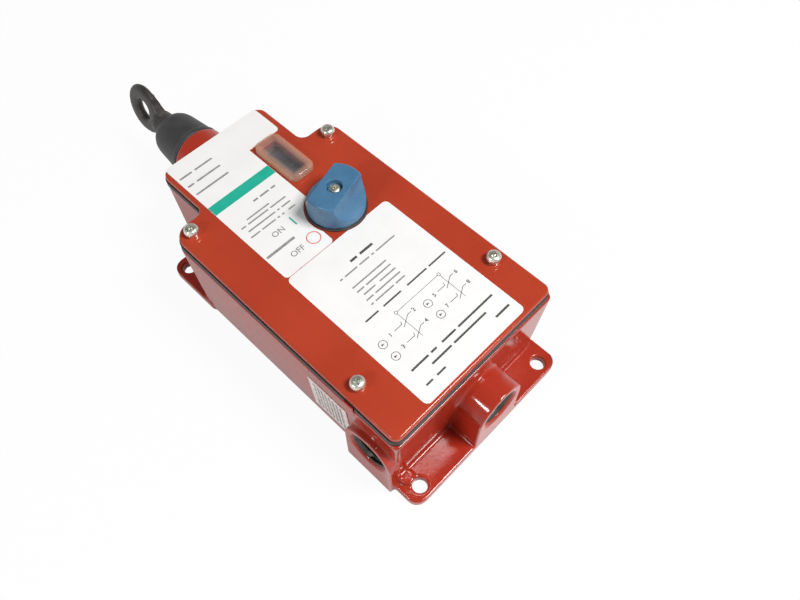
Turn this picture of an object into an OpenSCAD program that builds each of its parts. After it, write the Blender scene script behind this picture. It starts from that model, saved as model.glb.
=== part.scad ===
// Rope pull switch: a die-cast box with a spring-loaded pull rod, a rotary reset knob,
// a position window and two threaded conduit entries. Millimetres, +Z up, +Y towards the eye.
// The origin is the middle of the four mounting holes, on the mounting face.

/* [Mounting feet] */
// Distance between the mounting holes across the box
hole_pitch_x = 82.6; // [78:0.2:84]
// Distance between the mounting holes along the box
hole_pitch_y = 163.6; // [161:0.2:166]
// Diameter of the mounting holes
foot_hole_d = 7.1; // [4:0.1:8]
// Thickness of the feet
foot_t = 5.2; // [3:0.2:8]
// From a mounting hole to the outer edge of its foot
foot_margin = 6.2; // [5.2:0.1:7]
// Corner radius of the feet
foot_corner_r = 5.6; // [3:0.2:6]
// Width of the far foot, across the box
far_foot_w = 98.6; // [94:0.2:99]

/* [Cover] */
// Width of the cover
cover_w = 96; // [94:1:104]
// Length of the cover, from its far edge to the front of its neck
cover_l = 171.5; // [170:0.5:174]
// Thickness of the cover
cover_t = 3; // [2:0.25:5]
// Corner radius of the cover
cover_corner_r = 8; // [6:0.5:9]
// Corner radius of the cover at the far end
far_corner_r = 3.8; // [3:0.2:6]
// Height of the eased edge round the cover
cover_edge = 0.6; // [0.2:0.1:1]
// Width of the neck
neck_w = 60.4; // [58:0.2:66]
// Length of the neck beyond the shoulders
neck_l = 32; // [30:0.5:34]
// Corner radius at the front of the neck
neck_corner_r = 5; // [4.8:0.1:8]
// Radius in the inner corners beside the neck
neck_fillet_r = 4.5; // [2:0.5:7]
// From the far mounting holes to the far edge of the cover
cover_setback = 8.2; // [7:0.2:9]

/* [Housing] */
// Height of the housing without gasket and cover
housing_h = 50.7; // [49:0.5:60]
// How far the walls stand in from the edge of the cover
wall_inset = 1.4; // [1:0.1:2]
// How far the top of the box stands out past the cover
rim_out = 0.8; // [0.2:0.1:1.2]
// Thickness of the walls
wall_t = 3.1; // [2.8:0.1:4]
// Thickness of the floor
floor_t = 4; // [3:0.5:5]
// Thickness of the cover gasket
gasket_t = 3; // [1.5:0.5:4]

/* [Cover screws] */
// From the side edges of the cover to the screws
screw_side_inset = 6.7; // [6:0.1:8]
// From the shoulders of the cover to the front screws
screw_front_inset = 6.7; // [6:0.1:10]
// From the far edge of the cover to the rear screws
screw_row_y = 27.5; // [25:0.5:31]
// Diameter of the cover screws
screw_d = 3.5; // [3:0.1:4]
// Diameter of the screw heads
screw_head_d = 6.8; // [6:0.1:7.5]
// Height of the screw heads
screw_head_h = 2.6; // [2:0.1:3.2]
// Height of the captive collar under a cover screw's head
screw_collar_h = 2.2; // [0.5:0.1:3]
// Length of the cover screws below the head
screw_l = 16; // [12:1:20]

/* [Conduit entries] */
// Bore of the conduit threads
conduit_d = 19; // [17:0.2:20]
// Outer width of the conduit bosses
boss_w = 27.4; // [26:0.2:29]
// Height of the conduit axes above the mounting face
conduit_z = 26.2; // [24:0.2:28]
// Sideways place of the end conduit entry
end_conduit_x = 2.3; // [0:0.1:8]
// From the far edge of the cover to the side conduit entry
side_conduit_y = 13.2; // [13:0.2:13.8]
// How far the side boss stands out of the wall
side_boss_out = 5.2; // [3:0.2:7]
// How far the side boss reaches into the box
side_boss_in = 5; // [2:0.5:6]
// Depth of the chamfer at the mouths
mouth_chamfer = 1.2; // [0.5:0.1:1.6]

/* [Pull rod] */
// From the rim of the housing down to the axis of the pull rod
rod_depth = 19.7; // [19.7:0.1:21]
// Diameter of the rod in the front bush
rod_d = 12; // [11:0.25:13]
// Diameter of the rear journal
journal_d = 10; // [9:0.25:10.5]
// Travel of the pull rod
pull_travel = 14; // [10:0.5:15]
// Running clearance on the radius of shafts
run_gap = 0.05; // [0.02:0.01:0.09]
// Gap between pieces that move past each other
move_gap = 0.3; // [0.2:0.05:0.4]

/* [Snout, boot and eye] */
// Diameter of the snout
snout_d = 30.4; // [29:0.2:32]
// Length of the snout in front of the neck
snout_l = 20.2; // [18:0.2:24]
// Height of the flare where the snout meets the neck
snout_flare = 4.2; // [2:0.2:4.2]
// Length of the flare
snout_flare_l = 12; // [4:0.5:15]
// Diameter of the spigot that holds the boot
spigot_d = 24; // [23:0.25:25]
// Length of the spigot
spigot_l = 8.5; // [7:0.5:10]
// Length of the boot
boot_l = 26; // [25:0.5:30]
// Wall of the boot
boot_t = 2; // [1.5:0.25:2.5]
// Diameter of the neck of the eye
eye_neck_d = 13.2; // [12:0.2:14]
// Mean radius of the loop of the eye
eye_r = 9.2; // [9:0.1:10]
// Half of the breadth of its ring, from the hole to the outside
eye_half_breadth = 4.2; // [4:0.1:4.6]
// Radius of the stock of the loop
eye_stock_r = 3; // [2.5:0.1:3.4]
// From the tip of the boot to the middle of the loop
eye_reach = 20.6; // [20:0.2:24]
// Turn of the eye about the rod from upright
eye_turn = 9; // [0:1:15]

/* [Main spring] */
// Wire of the main spring
spring_wire = 2.5; // [2:0.1:2.8]
// Mean radius of the main spring
spring_r = 9.5; // [8.8:0.1:10]
// Number of turns
spring_turns = 6; // [4:1:7]
// Distance from the front wall to the spring collar
spring_room = 36.2; // [34:0.2:37]
// Thickness of the spring collar
collar_t = 3; // [2:0.25:4]

/* [Window] */
// Width of the window lens
lens_w = 14.5; // [13.5:0.25:16]
// Length of the window lens
lens_l = 30; // [27:0.5:30]
// Height of the lens above the cover
lens_h = 3.7; // [2:0.1:5]
// Corner radius of the lens
lens_corner_r = 3; // [2:0.25:4]
// Width of the rim of the lens on the cover
lens_rim = 2.4; // [2:0.1:3]
// Sideways place of the window
window_x = 16; // [15:0.25:16.5]
// From the far edge of the cover to the middle of the window
window_y = 136; // [135:0.5:137]

/* [Reset knob] */
// Diameter of the knob
knob_d = 27.4; // [24:0.2:28]
// Height of the knob
knob_h = 13.4; // [12:0.2:18]
// Width of the grip at its top
grip_w = 13.6; // [12:0.2:15]
// Radius of the hollows beside the grip
scoop_r = 11.5; // [11:0.25:12]
// Sideways place of the knob
knob_x = 13.9; // [13:0.1:14.5]
// From the far edge of the cover to the knob
knob_y = 97.9; // [97:0.1:99]
// Angle of the grip at OFF, from the X axis
knob_off_angle = 15.9; // [10:0.1:20]
// Diameter of the sealing washer under the knob
knob_washer_d = 28.8; // [28.2:0.2:30]
// Diameter of the knob shaft
knob_shaft_d = 8; // [7:0.25:8.5]
// Angle between OFF and RUN
knob_swing = 39.4; // [30:0.2:45]
// Radius of the crank pin on the knob shaft
crank_r = 8; // [7.5:0.1:8]

/* [Switch blocks] */
// Width of a switch block
block_w = 20; // [18:0.5:22]
// Length of the body of a switch block
block_l = 36; // [34:0.5:36]
// Length of the terminal deck
deck_l = 14; // [13.5:0.25:14.5]
// From the top of the switch blocks to the cover
drive_room = 13.7; // [13.5:0.1:15]
// Height of the terminal deck
deck_h = 14; // [11:0.5:15]
// From the rod axis to the face of a block
block_off = 15; // [14:0.25:15.5]
// Diameter of a plunger
plunger_d = 4; // [3:0.25:5]
// Length of the straight part of a plunger
plunger_l = 12; // [11:0.25:13]
// Rod travel for each millimetre of plunger travel
cam_ratio = 7; // [6:0.5:9]

/* [Labels] */
// Thickness of the labels
label_t = 0.25; // [0.1:0.05:0.4]
// From the middle of the cover to the left edge of the wiring label
wiring_label_left = 28.5; // [26:0.5:30]
// From the far edge of the cover to the wiring label
wiring_label_inset = 1.8; // [1:0.1:3]
// Width of the wiring label
wiring_label_w = 60.6; // [50:0.2:62]
// Length of the wiring label
wiring_label_l = 82.6; // [70:0.2:84]
// Width of the side label
side_label_w = 23.5; // [15:0.5:26]
// Height of the side label
side_label_h = 31; // [20:1:36]
// From the far edge of the cover to the side label
side_label_y = 28.4; // [28:0.2:40]
// Height of the side label above the mounting face
side_label_z = 9; // [6:0.5:12]

/* [Hidden] */
$fn = 72;

// Heights
rim_z = housing_h;
cover_z = rim_z + gasket_t;
top_z = cover_z + cover_t;
rod_z = rim_z - rod_depth;

// Stations along the box
far_edge = -hole_pitch_y / 2 + cover_setback;
neck_front = far_edge + cover_l;
shoulder = neck_front - neck_l;
far_wall_out = far_edge + wall_inset;
foot_far = -hole_pitch_y / 2 - foot_margin;
foot_head = hole_pitch_y / 2 + foot_margin + 0.6;
foot_half_w = hole_pitch_x / 2 + foot_margin;
inner_inset = wall_inset + wall_t;
front_wall_out = neck_front - wall_inset;
front_wall_in = neck_front - inner_inset;
snout_end = front_wall_out + snout_l;
spigot_end = snout_end + spigot_l;
boot_tip = snout_end + boot_l;
eye_y = boot_tip + eye_reach;

// Radii of the rod and what runs on it
rod_r = rod_d / 2;
journal_r = journal_d / 2;
bush_wall = 2.4;
clip_t = 1.2;
groove_depth = 0.8;
fit_gap = 0.02;

// Spring seats
seat_flange_t = 2;
washer_t = 1.2;
spring_front = front_wall_in - seat_flange_t - washer_t;
spring_rear = front_wall_in - spring_room;
collar_rear = spring_rear - collar_t;
seat_r = spring_r + spring_wire / 2 + 2;

// Mechanism frame
pad_h = 4;
frame_t = 2;
frame_z = floor_t + pad_h;
frame_top = frame_z + frame_t;
frame_half_w = block_off + block_w + 2;
frame_hole_x = 25;
frame_hole_inset = 4;
frame_screw_d = 3.5;
upright_y = far_edge + 62;
upright_t = 3;
upright_half_w = 13;

// Switch blocks and cam
block_rear = far_edge + 74;
block_front = block_rear + block_l;
deck_rear = block_rear - deck_l;
frame_rear = deck_rear - 8;
frame_front = block_front + 10;
block_top = cover_z - drive_room;
block_h = block_top - frame_top;
deck_top = frame_top + deck_h;
plunger_y = far_edge + 92;
cam_half_w = 9;
cam_ramp_front = plunger_y + 2;
cam_ramp_l = pull_travel + 4;
cam_h = 16;
bush_front = upright_y + 6.5;
cam_rear = bush_front + move_gap;
flag_t = 1.5;
rod_shoulder = far_edge + 118;
cam_front = rod_shoulder - flag_t - 2 * run_gap;
bush_rear = upright_y - 1.5;
rear_clip_y = bush_rear - pull_travel - move_gap - clip_t;
rod_rear = rear_clip_y - 2;
cam_pin_d = 3;
cam_pin_y = cam_front - 5;

// Plunger: its round nose stands off the ramp of the cam
ramp_slope = 1 / cam_ratio;
ramp_norm = sqrt(1 + ramp_slope * ramp_slope);
plunger_r = plunger_d / 2;
ramp_at_plunger = cam_half_w + (cam_ramp_front - plunger_y) * ramp_slope;
nose_x = ramp_at_plunger + (plunger_r + move_gap) * ramp_norm;
plunger_stroke = pull_travel * ramp_slope;

// Latch slide
slide_z = block_top + 1;
slide_t = 1.8;
crank_pin_r = 1.5;
slide_travel = 2 * crank_r * sin(knob_swing / 2);
knob_cy = far_edge + knob_y;
pin_rest_angle = 180 + knob_swing / 2;
pin_x = knob_x + crank_r * cos(pin_rest_angle);
pin_y = knob_cy + crank_r * sin(pin_rest_angle);
disc_z = slide_z + slide_t + 0.8;
disc_t = 3;
disc_r = crank_r + 2;
tooth_front = far_edge + 88;
tooth_l = 4;
tooth_h = 4.5;
latch_x = -4.5;
latch_w = 7;
slide_arm_y = tooth_front + pull_travel + 0.8;
slide_arm_w = 4;
guide_x = 27;
guide_front = far_edge + 104;
guide_pitch = 16;
guide_r = 2;

// Knob, its bushing and its clip
knob_washer_t = 1;
knob_z = top_z + knob_washer_t + 0.3;
knob_top = knob_z + knob_h;
knob_r = knob_d / 2;
knob_shaft_r = knob_shaft_d / 2;
bushing_r = knob_shaft_r + 2;
bushing_flange_t = 1;
bushing_flange_r = bushing_r + 3;
bushing_low = disc_z + disc_t + 1.7;
detent_t = 0.8;
nut_h = 3.6;
nut_af = 17;
knob_screw_head_d = 6;
knob_screw_head_h = 2;
knob_recess_d = 7.4;
knob_recess_depth = 2.8;
knob_seat = knob_top - knob_recess_depth;
knob_shaft_top = knob_seat - 2.2;

// Window
lens_slot_w = lens_w - 2 * lens_rim;
lens_slot_l = lens_l - 2 * lens_rim;
lens_cy = far_edge + window_y;
slot_gap = 0.1;

// Cover screws
screw_half_x = cover_w / 2 - screw_side_inset;
screw_y0 = far_edge + screw_row_y;
screw_y1 = shoulder - screw_front_inset;
screw_boss_r = 4.6;
screw_hole_d = screw_d + 0.5;

// Ground screw
ground_x = -25;
ground_y = far_edge + 46;
ground_boss_h = 3;
ground_r = 2;

// Labels
label_margin = 2.2;
label_right_margin = 3.3;
wiring_label_x0 = -wiring_label_left;
wiring_label_y0 = far_edge + wiring_label_inset;
op_label_left = neck_w / 2 - label_margin;
op_label_right = neck_w / 2 - label_right_margin;
op_label_low_right = 0;
op_label_y0 = wiring_label_y0 + wiring_label_l + 0.35;
op_label_r = 2;
knob_notch_r = knob_washer_d / 2 + 0.7;
side_label_y0 = far_edge + side_label_y;
side_label_z0 = side_label_z;

// ---------------------------------------------------------------- helpers

// Turns +Z to +Y, on the axis of the pull rod
module along_rod(y = 0) {
  translate([0, y, rod_z]) rotate([-90, 0, 0]) children();
}

// Places children at the four cover screws
module at_cover_screws() {
  for (sx = [-1, 1])
    for (y = [screw_y0, screw_y1])
      translate([sx * screw_half_x, y, 0]) children();
}

// Places children at the four frame screws
module at_frame_screws() {
  for (sx = [-1, 1])
    for (y = [frame_rear + frame_hole_inset, frame_front - frame_hole_inset])
      translate([sx * frame_hole_x, y, 0]) children();
}

// A rectangle with round corners, from its corner points
module round_rect(x0, x1, y0, y1, r) {
  translate([x0 + r, y0]) square([x1 - x0 - 2 * r, y1 - y0]);
  translate([x0, y0 + r]) square([x1 - x0, y1 - y0 - 2 * r]);
  for (x = [x0 + r, x1 - r])
    for (y = [y0 + r, y1 - r])
      translate([x, y]) circle(r);
}

// The outline that cover, gasket and housing share, moved inwards by inset
module plan(inset) {
  half_w = cover_w / 2 - inset;
  half_neck = neck_w / 2 - inset;
  fillet = neck_fillet_r + inset;
  y1 = shoulder - inset;
  far_r = max(far_corner_r - inset, 0.8);
  round_rect(-half_w, half_w, far_edge + inset, y1 - 3 * cover_corner_r, far_r);
  round_rect(-half_w, half_w, far_edge + 4 * far_corner_r, y1, cover_corner_r - inset);
  round_rect(-half_neck, half_neck, y1 - 2 * cover_corner_r, neck_front - inset,
    max(neck_corner_r - inset, 0.5));
  for (sx = [-1, 1])
    translate([sx * half_neck, y1])
      difference() {
        translate([sx > 0 ? 0 : -fillet, 0]) square(fillet);
        translate([sx * fillet, fillet]) circle(fillet);
      }
}

// A tube on +Z
module tube(r_out, r_in, h) {
  difference() {
    cylinder(r = r_out, h = h);
    translate([0, 0, -1]) cylinder(r = r_in, h = h + 2);
  }
}

// A hexagon nut on +Z
module hex_nut(af, r_in, h) {
  difference() {
    cylinder(r = af / sqrt(3), h = h, $fn = 6);
    translate([0, 0, -1]) cylinder(r = r_in, h = h + 2);
  }
}

// A pan head on +Z with a cross recess
module pan_head(d, h) {
  edge = h * 0.45;
  slot_w = d * 0.16;
  slot_l = d * 0.55;
  difference() {
    union() {
      cylinder(r = d / 2, h = h - edge);
      translate([0, 0, h - edge]) cylinder(r1 = d / 2, r2 = d / 2 - edge * 0.9, h = edge);
    }
    for (a = [0, 90])
      rotate(a) translate([-slot_l / 2, -slot_w / 2, h * 0.4]) cube([slot_l, slot_w, h]);
  }
}

// A pan-head screw whose head sits on z = 0 and whose shank hangs below
module pan_screw(d, head_d, head_h, l) {
  pan_head(head_d, head_h);
  translate([0, 0, -l]) cylinder(r = d / 2, h = l);
}

// A coil spring on +Z: one wire swept along a helix, with closed end turns
module coil_spring(mean_r, wire_r, turns, h) {
  sides = 8;
  per_turn = 20;
  end_turn = 0.75;
  n = turns * per_turn;
  rise = h - 2 * wire_r;
  function lift(t) =
    t < end_turn ? 0
    : t > turns - end_turn ? rise
    : rise * (t - end_turn) / (turns - 2 * end_turn);
  ring = [for (i = [0:n], j = [0:sides - 1])
    let (t = i / per_turn, a = 360 * t, b = 360 * j / sides)
    [(mean_r + wire_r * cos(b)) * cos(a),
     (mean_r + wire_r * cos(b)) * sin(a),
     wire_r + lift(t) + wire_r * sin(b)]];
  walls = [for (i = [0:n - 1], j = [0:sides - 1])
    let (k = (j + 1) % sides)
    [i * sides + j, i * sides + k, (i + 1) * sides + k, (i + 1) * sides + j]];
  ends = [[for (j = [sides - 1:-1:0]) j], [for (j = [0:sides - 1]) n * sides + j]];
  polyhedron(points = ring, faces = concat(walls, ends), convexity = 8);
}

// ---------------------------------------------------------------- housing

// A conduit boss on +Z, +Y down: round above its axis, straight down to the mounting face
module conduit_boss(h) {
  w = boss_w / 2;
  linear_extrude(h) {
    circle(w);
    translate([-w, 0]) square([boss_w, conduit_z]);
  }
}

// The bore of a conduit entry, its mouth at z = 0 and its inner end at z = depth
module conduit_bore(depth) {
  translate([0, 0, -1]) cylinder(r = conduit_d / 2, h = depth + 1.01);
  translate([0, 0, -0.01])
    cylinder(r1 = conduit_d / 2 + mouth_chamfer, r2 = conduit_d / 2, h = mouth_chamfer);
}

// Places children at the end conduit mouth, +Z into the box and +Y down
module at_end_conduit() {
  translate([end_conduit_x, foot_far, conduit_z]) rotate([-90, 0, 0]) children();
}

// Places children at the side conduit mouth, +Z into the box and +Y down
module at_side_conduit() {
  x = -cover_w / 2 + wall_inset - side_boss_out;
  translate([x, far_edge + side_conduit_y, conduit_z])
    rotate([0, 90, 0]) rotate([0, 0, -90]) children();
}

// The snout with its flare and the grooved spigot for the boot, on +Z from the neck wall
module snout_solid() {
  r = snout_d / 2;
  steps = 6;
  groove_r = spigot_d / 2 - 1;
  flare = [for (i = [0:steps])
    let (a = 90 * i / steps)
    [r + snout_flare * (1 - sin(a)), snout_flare_l * (1 - cos(a))]];
  rotate_extrude()
    polygon(concat(
      [[0, -wall_t / 2], [r + snout_flare, -wall_t / 2]],
      flare,
      [[r, snout_l - 0.8], [r - 0.8, snout_l],
       [spigot_d / 2, snout_l], [spigot_d / 2, snout_l + 2],
       [groove_r, snout_l + 2.5], [groove_r, snout_l + 5],
       [spigot_d / 2, snout_l + 5.5], [spigot_d / 2, snout_l + spigot_l - 0.8],
       [spigot_d / 2 - 0.8, snout_l + spigot_l], [0, snout_l + spigot_l]]));
}

// Round pad cast in the corner between the side boss and the far foot
corner_pad_r = 3.4;
corner_pad_h = 8.5;
pad_x = -cover_w / 2 + 4.8;

// Small rib that stands over the edge of the gasket and locates it
lug_w = 6;
lug_t = 0.9;
module gasket_lug(grow = 0) {
  translate([-cover_w / 2 - rim_out - 0.5 - grow, screw_y0 - 1.9 - lug_w / 2 - grow, rim_z - 4])
    cube([lug_t + 2 * grow, lug_w + 2 * grow, 4 + gasket_t - 0.2 + 2 * grow]);
}

// The outside of the box: cast with draft, so that it widens from its floor to its rim
module box_body() {
  half_w = cover_w / 2;
  l = cover_l - 2 * wall_inset;
  wider = [(half_w + rim_out) / (half_w - wall_inset), (l + 2.2 * (rim_out + wall_inset) * 0.8) / l];
  still_y = far_edge + wall_inset + l * 0.66;
  translate([0, still_y, 0]) linear_extrude(rim_z, scale = wider, slices = 1)
    translate([0, -still_y]) plan(wall_inset, $fn = 48);
}

module housing() {
  bush_bore_r = rod_r + bush_wall;
  wiper_r = rod_r + 3;
  inside = foot_far - (far_edge + inner_inset);
  color([0.66, 0.17, 0.11]) difference() {
    union() {
      // Box with its cavity, which is cut before the inner bosses go in
      difference() {
        union() {
          box_body();
          linear_extrude(foot_t) {
            round_rect(-far_foot_w / 2, far_foot_w / 2, foot_far, far_edge + foot_corner_r, foot_corner_r);
            translate([-far_foot_w / 2, far_edge - foot_corner_r])
              square([far_foot_w, foot_corner_r + wall_inset + 1]);
          }
          linear_extrude(foot_t)
            round_rect(-foot_half_w, foot_half_w, shoulder - 14, foot_head, foot_corner_r);
          at_end_conduit() conduit_boss(foot_margin + cover_setback + wall_inset + 1);
          at_side_conduit() conduit_boss(side_boss_out + 1);
          along_rod(front_wall_out) snout_solid();
        }
        translate([0, 0, floor_t]) linear_extrude(rim_z) plan(inner_inset);
      }
      intersection() {
        at_side_conduit()
          cylinder(r = boss_w / 2 - 1, h = side_boss_out + wall_t + side_boss_in);
        translate([-cover_w, far_edge, 0]) cube([cover_w, cover_w, rim_z]);
      }
      at_cover_screws() {
        translate([0, 0, floor_t - 1]) cylinder(r = screw_boss_r, h = rim_z - floor_t + 1);
      }
      at_frame_screws()
        translate([0, 0, floor_t - 1]) cylinder(r = 5.5, h = pad_h + 1);
      translate([ground_x, ground_y, floor_t - 1]) cylinder(r = 5, h = ground_boss_h + 1);
      translate([pad_x, far_edge - 2, 0]) cylinder(r = corner_pad_r, h = corner_pad_h);
      gasket_lug();
    }
    // Conduit bores, through to the wiring space
    at_end_conduit() conduit_bore(-inside);
    at_side_conduit() conduit_bore(side_boss_out + wall_t + side_boss_in);
    // Seats of the front bush and of the wiper
    along_rod(front_wall_in - 1)
      cylinder(r = bush_bore_r, h = spigot_end - front_wall_in + 2);
    along_rod(spigot_end - 5) cylinder(r = wiper_r, h = 6);
    // Tapped holes
    at_cover_screws()
      translate([0, 0, rim_z - screw_l]) cylinder(r = screw_d / 2 + fit_gap, h = screw_l + 1);
    at_frame_screws()
      translate([0, 0, 2]) cylinder(r = frame_screw_d / 2 + fit_gap, h = frame_z);
    translate([ground_x, ground_y, 2]) cylinder(r = ground_r + fit_gap, h = floor_t + ground_boss_h);
    // Mounting holes
    for (sx = [-1, 1])
      for (sy = [-1, 1])
        translate([sx * hole_pitch_x / 2, sy * hole_pitch_y / 2, -1])
          cylinder(r = foot_hole_d / 2, h = foot_t + 2);
  }
}

// ---------------------------------------------------------------- cover

module cover() {
  color([0.72, 0.19, 0.12]) difference() {
    union() {
      translate([0, 0, cover_z]) linear_extrude(cover_t - cover_edge) plan(0);
      translate([0, 0, top_z - cover_edge]) linear_extrude(cover_edge) plan(cover_edge / 2);
    }
    at_cover_screws()
      translate([0, 0, cover_z - 1]) cylinder(r = screw_hole_d / 2, h = cover_t + 2);
    translate([knob_x, knob_cy, cover_z - 1])
      cylinder(r = bushing_r + fit_gap, h = cover_t + 2);
    translate([window_x, lens_cy, cover_z - 1])
      linear_extrude(cover_t + 2)
        round_rect(-lens_slot_w / 2, lens_slot_w / 2, -lens_slot_l / 2, lens_slot_l / 2, 1.5);
  }
}

module cover_gasket() {
  color([0.16, 0.17, 0.17]) translate([0, 0, rim_z]) difference() {
    linear_extrude(gasket_t) {
      difference() {
        plan(0.3 - rim_out);
        plan(inner_inset + 0.3);
      }
      at_cover_screws() circle(screw_boss_r + 0.2);
    }
    at_cover_screws()
      translate([0, 0, -1]) cylinder(r = screw_hole_d / 2, h = gasket_t + 2);
    translate([0, 0, -rim_z]) gasket_lug(0.1);
  }
}

module cover_screws() {
  color([0.75, 0.76, 0.74]) at_cover_screws() {
    translate([0, 0, top_z]) cylinder(r = screw_head_d / 2 - 0.6, h = screw_collar_h);
    translate([0, 0, top_z + screw_collar_h])
      pan_screw(screw_d, screw_head_d, screw_head_h, screw_l + screw_collar_h);
  }
}

module window_lens() {
  under = 1.6;
  color([0.85, 0.65, 0.6, 0.5]) translate([window_x, lens_cy, 0]) {
    translate([0, 0, top_z]) linear_extrude(lens_h - 0.5)
      round_rect(-lens_w / 2, lens_w / 2, -lens_l / 2, lens_l / 2, lens_corner_r);
    translate([0, 0, top_z + lens_h - 0.5]) linear_extrude(0.5)
      round_rect(-lens_w / 2 + 0.4, lens_w / 2 - 0.4,
        -lens_l / 2 + 0.4, lens_l / 2 - 0.4, lens_corner_r - 0.4);
    translate([0, 0, cover_z - under]) linear_extrude(cover_t + under)
      round_rect(-lens_slot_w / 2 + slot_gap, lens_slot_w / 2 - slot_gap,
        -lens_slot_l / 2 + slot_gap, lens_slot_l / 2 - slot_gap, 1.4);
  }
}

module window_retainer() {
  t = 0.8;
  w = 2;
  half_w = lens_slot_w / 2;
  half_l = lens_slot_l / 2;
  color([0.6, 0.6, 0.6]) translate([window_x, lens_cy, cover_z - t]) linear_extrude(t)
    difference() {
      round_rect(-half_w - w, half_w + w, -half_l - w, half_l + w, 3);
      round_rect(-half_w, half_w, -half_l, half_l, 1.5);
    }
}

// ---------------------------------------------------------------- reset knob

module knob_washer() {
  color([0.1, 0.1, 0.11]) translate([knob_x, knob_cy, top_z])
    tube(knob_washer_d / 2, bushing_flange_r + 0.2, knob_washer_t);
}

module knob_bushing() {
  color([0.72, 0.6, 0.32]) translate([knob_x, knob_cy, 0]) difference() {
    union() {
      translate([0, 0, bushing_low]) cylinder(r = bushing_r, h = top_z - bushing_low);
      translate([0, 0, top_z]) cylinder(r = bushing_flange_r, h = bushing_flange_t);
    }
    translate([0, 0, bushing_low - 1])
      cylinder(r = knob_shaft_r + run_gap, h = top_z - bushing_low + 4);
  }
}

module bushing_nut() {
  color([0.72, 0.6, 0.32]) translate([knob_x, knob_cy, cover_z - detent_t - nut_h])
    hex_nut(nut_af, bushing_r + fit_gap, nut_h);
}

// Leaf spring under the bushing nut, whose finger presses on the knob disc
module detent_spring() {
  arm_x = disc_r + 2;
  arm_w = 6;
  finger_z = disc_z + disc_t + move_gap;
  color([0.7, 0.72, 0.75]) translate([knob_x, knob_cy, 0]) {
    difference() {
      translate([0, 0, cover_z - detent_t]) union() {
        cylinder(r = nut_af / 2 + 1, h = detent_t);
        translate([0, -arm_w / 2, 0]) cube([arm_x, arm_w, detent_t]);
      }
      translate([0, 0, cover_z - 2]) cylinder(r = bushing_r + fit_gap, h = 4);
    }
    translate([arm_x - detent_t, -arm_w / 2, finger_z])
      cube([detent_t, arm_w, cover_z - finger_z]);
    translate([disc_r - 4, -arm_w / 2, finger_z])
      cube([arm_x - disc_r + 4, arm_w, detent_t]);
  }
}

module reset_knob() {
  skirt_h = 3;
  scoop_x = grip_w / 2 + scoop_r;
  color([0.17, 0.42, 0.66]) translate([knob_x, knob_cy, 0]) rotate(knob_off_angle)
    difference() {
      union() {
        translate([0, 0, knob_z]) cylinder(r = knob_r, h = knob_h - 0.7);
        translate([0, 0, knob_top - 0.7]) cylinder(r1 = knob_r, r2 = knob_r - 0.7, h = 0.7);
      }
      for (s = [-1, 1])
        translate([-2 * knob_r, s * scoop_x, knob_top]) rotate([0, 90, 0])
          cylinder(r = scoop_r, h = 4 * knob_r);
      translate([0, 0, knob_seat]) cylinder(r = knob_recess_d / 2, h = knob_recess_depth + 1);
      translate([0, 0, knob_z - 1])
        cylinder(r = knob_shaft_r + fit_gap, h = knob_shaft_top - knob_z + 1);
      translate([0, 0, knob_z]) cylinder(r = 1.6, h = knob_h);
      translate([0, 0, knob_z - 1]) cylinder(r = knob_r - 2, h = 1 + skirt_h / 4);
    }
}

module knob_screw() {
  color([0.8, 0.81, 0.78]) translate([knob_x, knob_cy, knob_seat])
    rotate(30) pan_screw(3, knob_screw_head_d, knob_screw_head_h, 8);
}

module knob_shaft() {
  color([0.66, 0.67, 0.68]) {
    translate([knob_x, knob_cy, 0]) difference() {
      union() {
        translate([0, 0, disc_z]) cylinder(r = knob_shaft_r, h = knob_shaft_top - disc_z);
        translate([0, 0, disc_z]) cylinder(r = disc_r, h = disc_t);
      }
      translate([0, 0, disc_z + disc_t + 0.3]) tube(disc_r, knob_shaft_r - 0.6, 1);
      translate([0, 0, knob_seat - 8.5]) cylinder(r = 1.5 + fit_gap, h = 10);
    }
    translate([pin_x, pin_y, slide_z - 0.4]) cylinder(r = crank_pin_r, h = disc_z - slide_z + 0.4);
  }
}

module knob_clip() {
  color([0.3, 0.3, 0.32]) translate([knob_x, knob_cy, disc_z + disc_t + 0.32])
    difference() {
      tube(knob_shaft_r + 2, knob_shaft_r - 0.6 + fit_gap, 0.9);
      translate([0, -1.5, -1]) cube([knob_shaft_r + 4, 3, 3]);
    }
}

// ---------------------------------------------------------------- rod guides and boot

module front_bush() {
  color([0.72, 0.55, 0.3]) difference() {
    union() {
      along_rod(front_wall_in)
        cylinder(r = rod_r + bush_wall - fit_gap, h = spigot_end - 5 - front_wall_in);
      along_rod(front_wall_in - seat_flange_t) cylinder(r = seat_r, h = seat_flange_t);
    }
    along_rod(front_wall_in - 5) cylinder(r = rod_r + run_gap, h = spigot_end - front_wall_in + 5);
  }
}

module shaft_wiper() {
  color([0.12, 0.12, 0.12]) along_rod(spigot_end - 4.9)
    tube(rod_r + 3 - fit_gap, rod_r + run_gap, 4.9);
}

// Boot: a taper with a round shoulder, open at both ends
module rubber_boot() {
  r0 = snout_d / 2 - 0.4;
  r1 = r0 - 2.6;
  tip_r = eye_neck_d / 2 + run_gap;
  shoulder_l = 11;
  lip_l = 1.2;
  taper_l = boot_l - shoulder_l - lip_l;
  lip_r = tip_r + 0.9;
  steps = 7;
  bead = spigot_d / 2 + fit_gap;
  outer = [for (i = [0:steps])
    let (a = 90 * i / steps)
    [lip_r + (r1 - lip_r) * cos(a), taper_l + shoulder_l * sin(a)]];
  inner = [for (i = [steps:-1:0])
    let (a = 90 * i / steps)
    [tip_r + (r1 - boot_t - tip_r) * cos(a), taper_l + (shoulder_l - boot_t) * sin(a)]];
  color([0.13, 0.13, 0.14]) along_rod(snout_end + fit_gap) rotate_extrude()
    polygon(concat(
      [[bead, 0], [r0 - 0.4, 0], [r0, 0.8]],
      outer,
      [[lip_r, boot_l], [tip_r, boot_l]],
      inner,
      [[bead + 0.4, spigot_l + 1], [bead, spigot_l]]));
}

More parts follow.
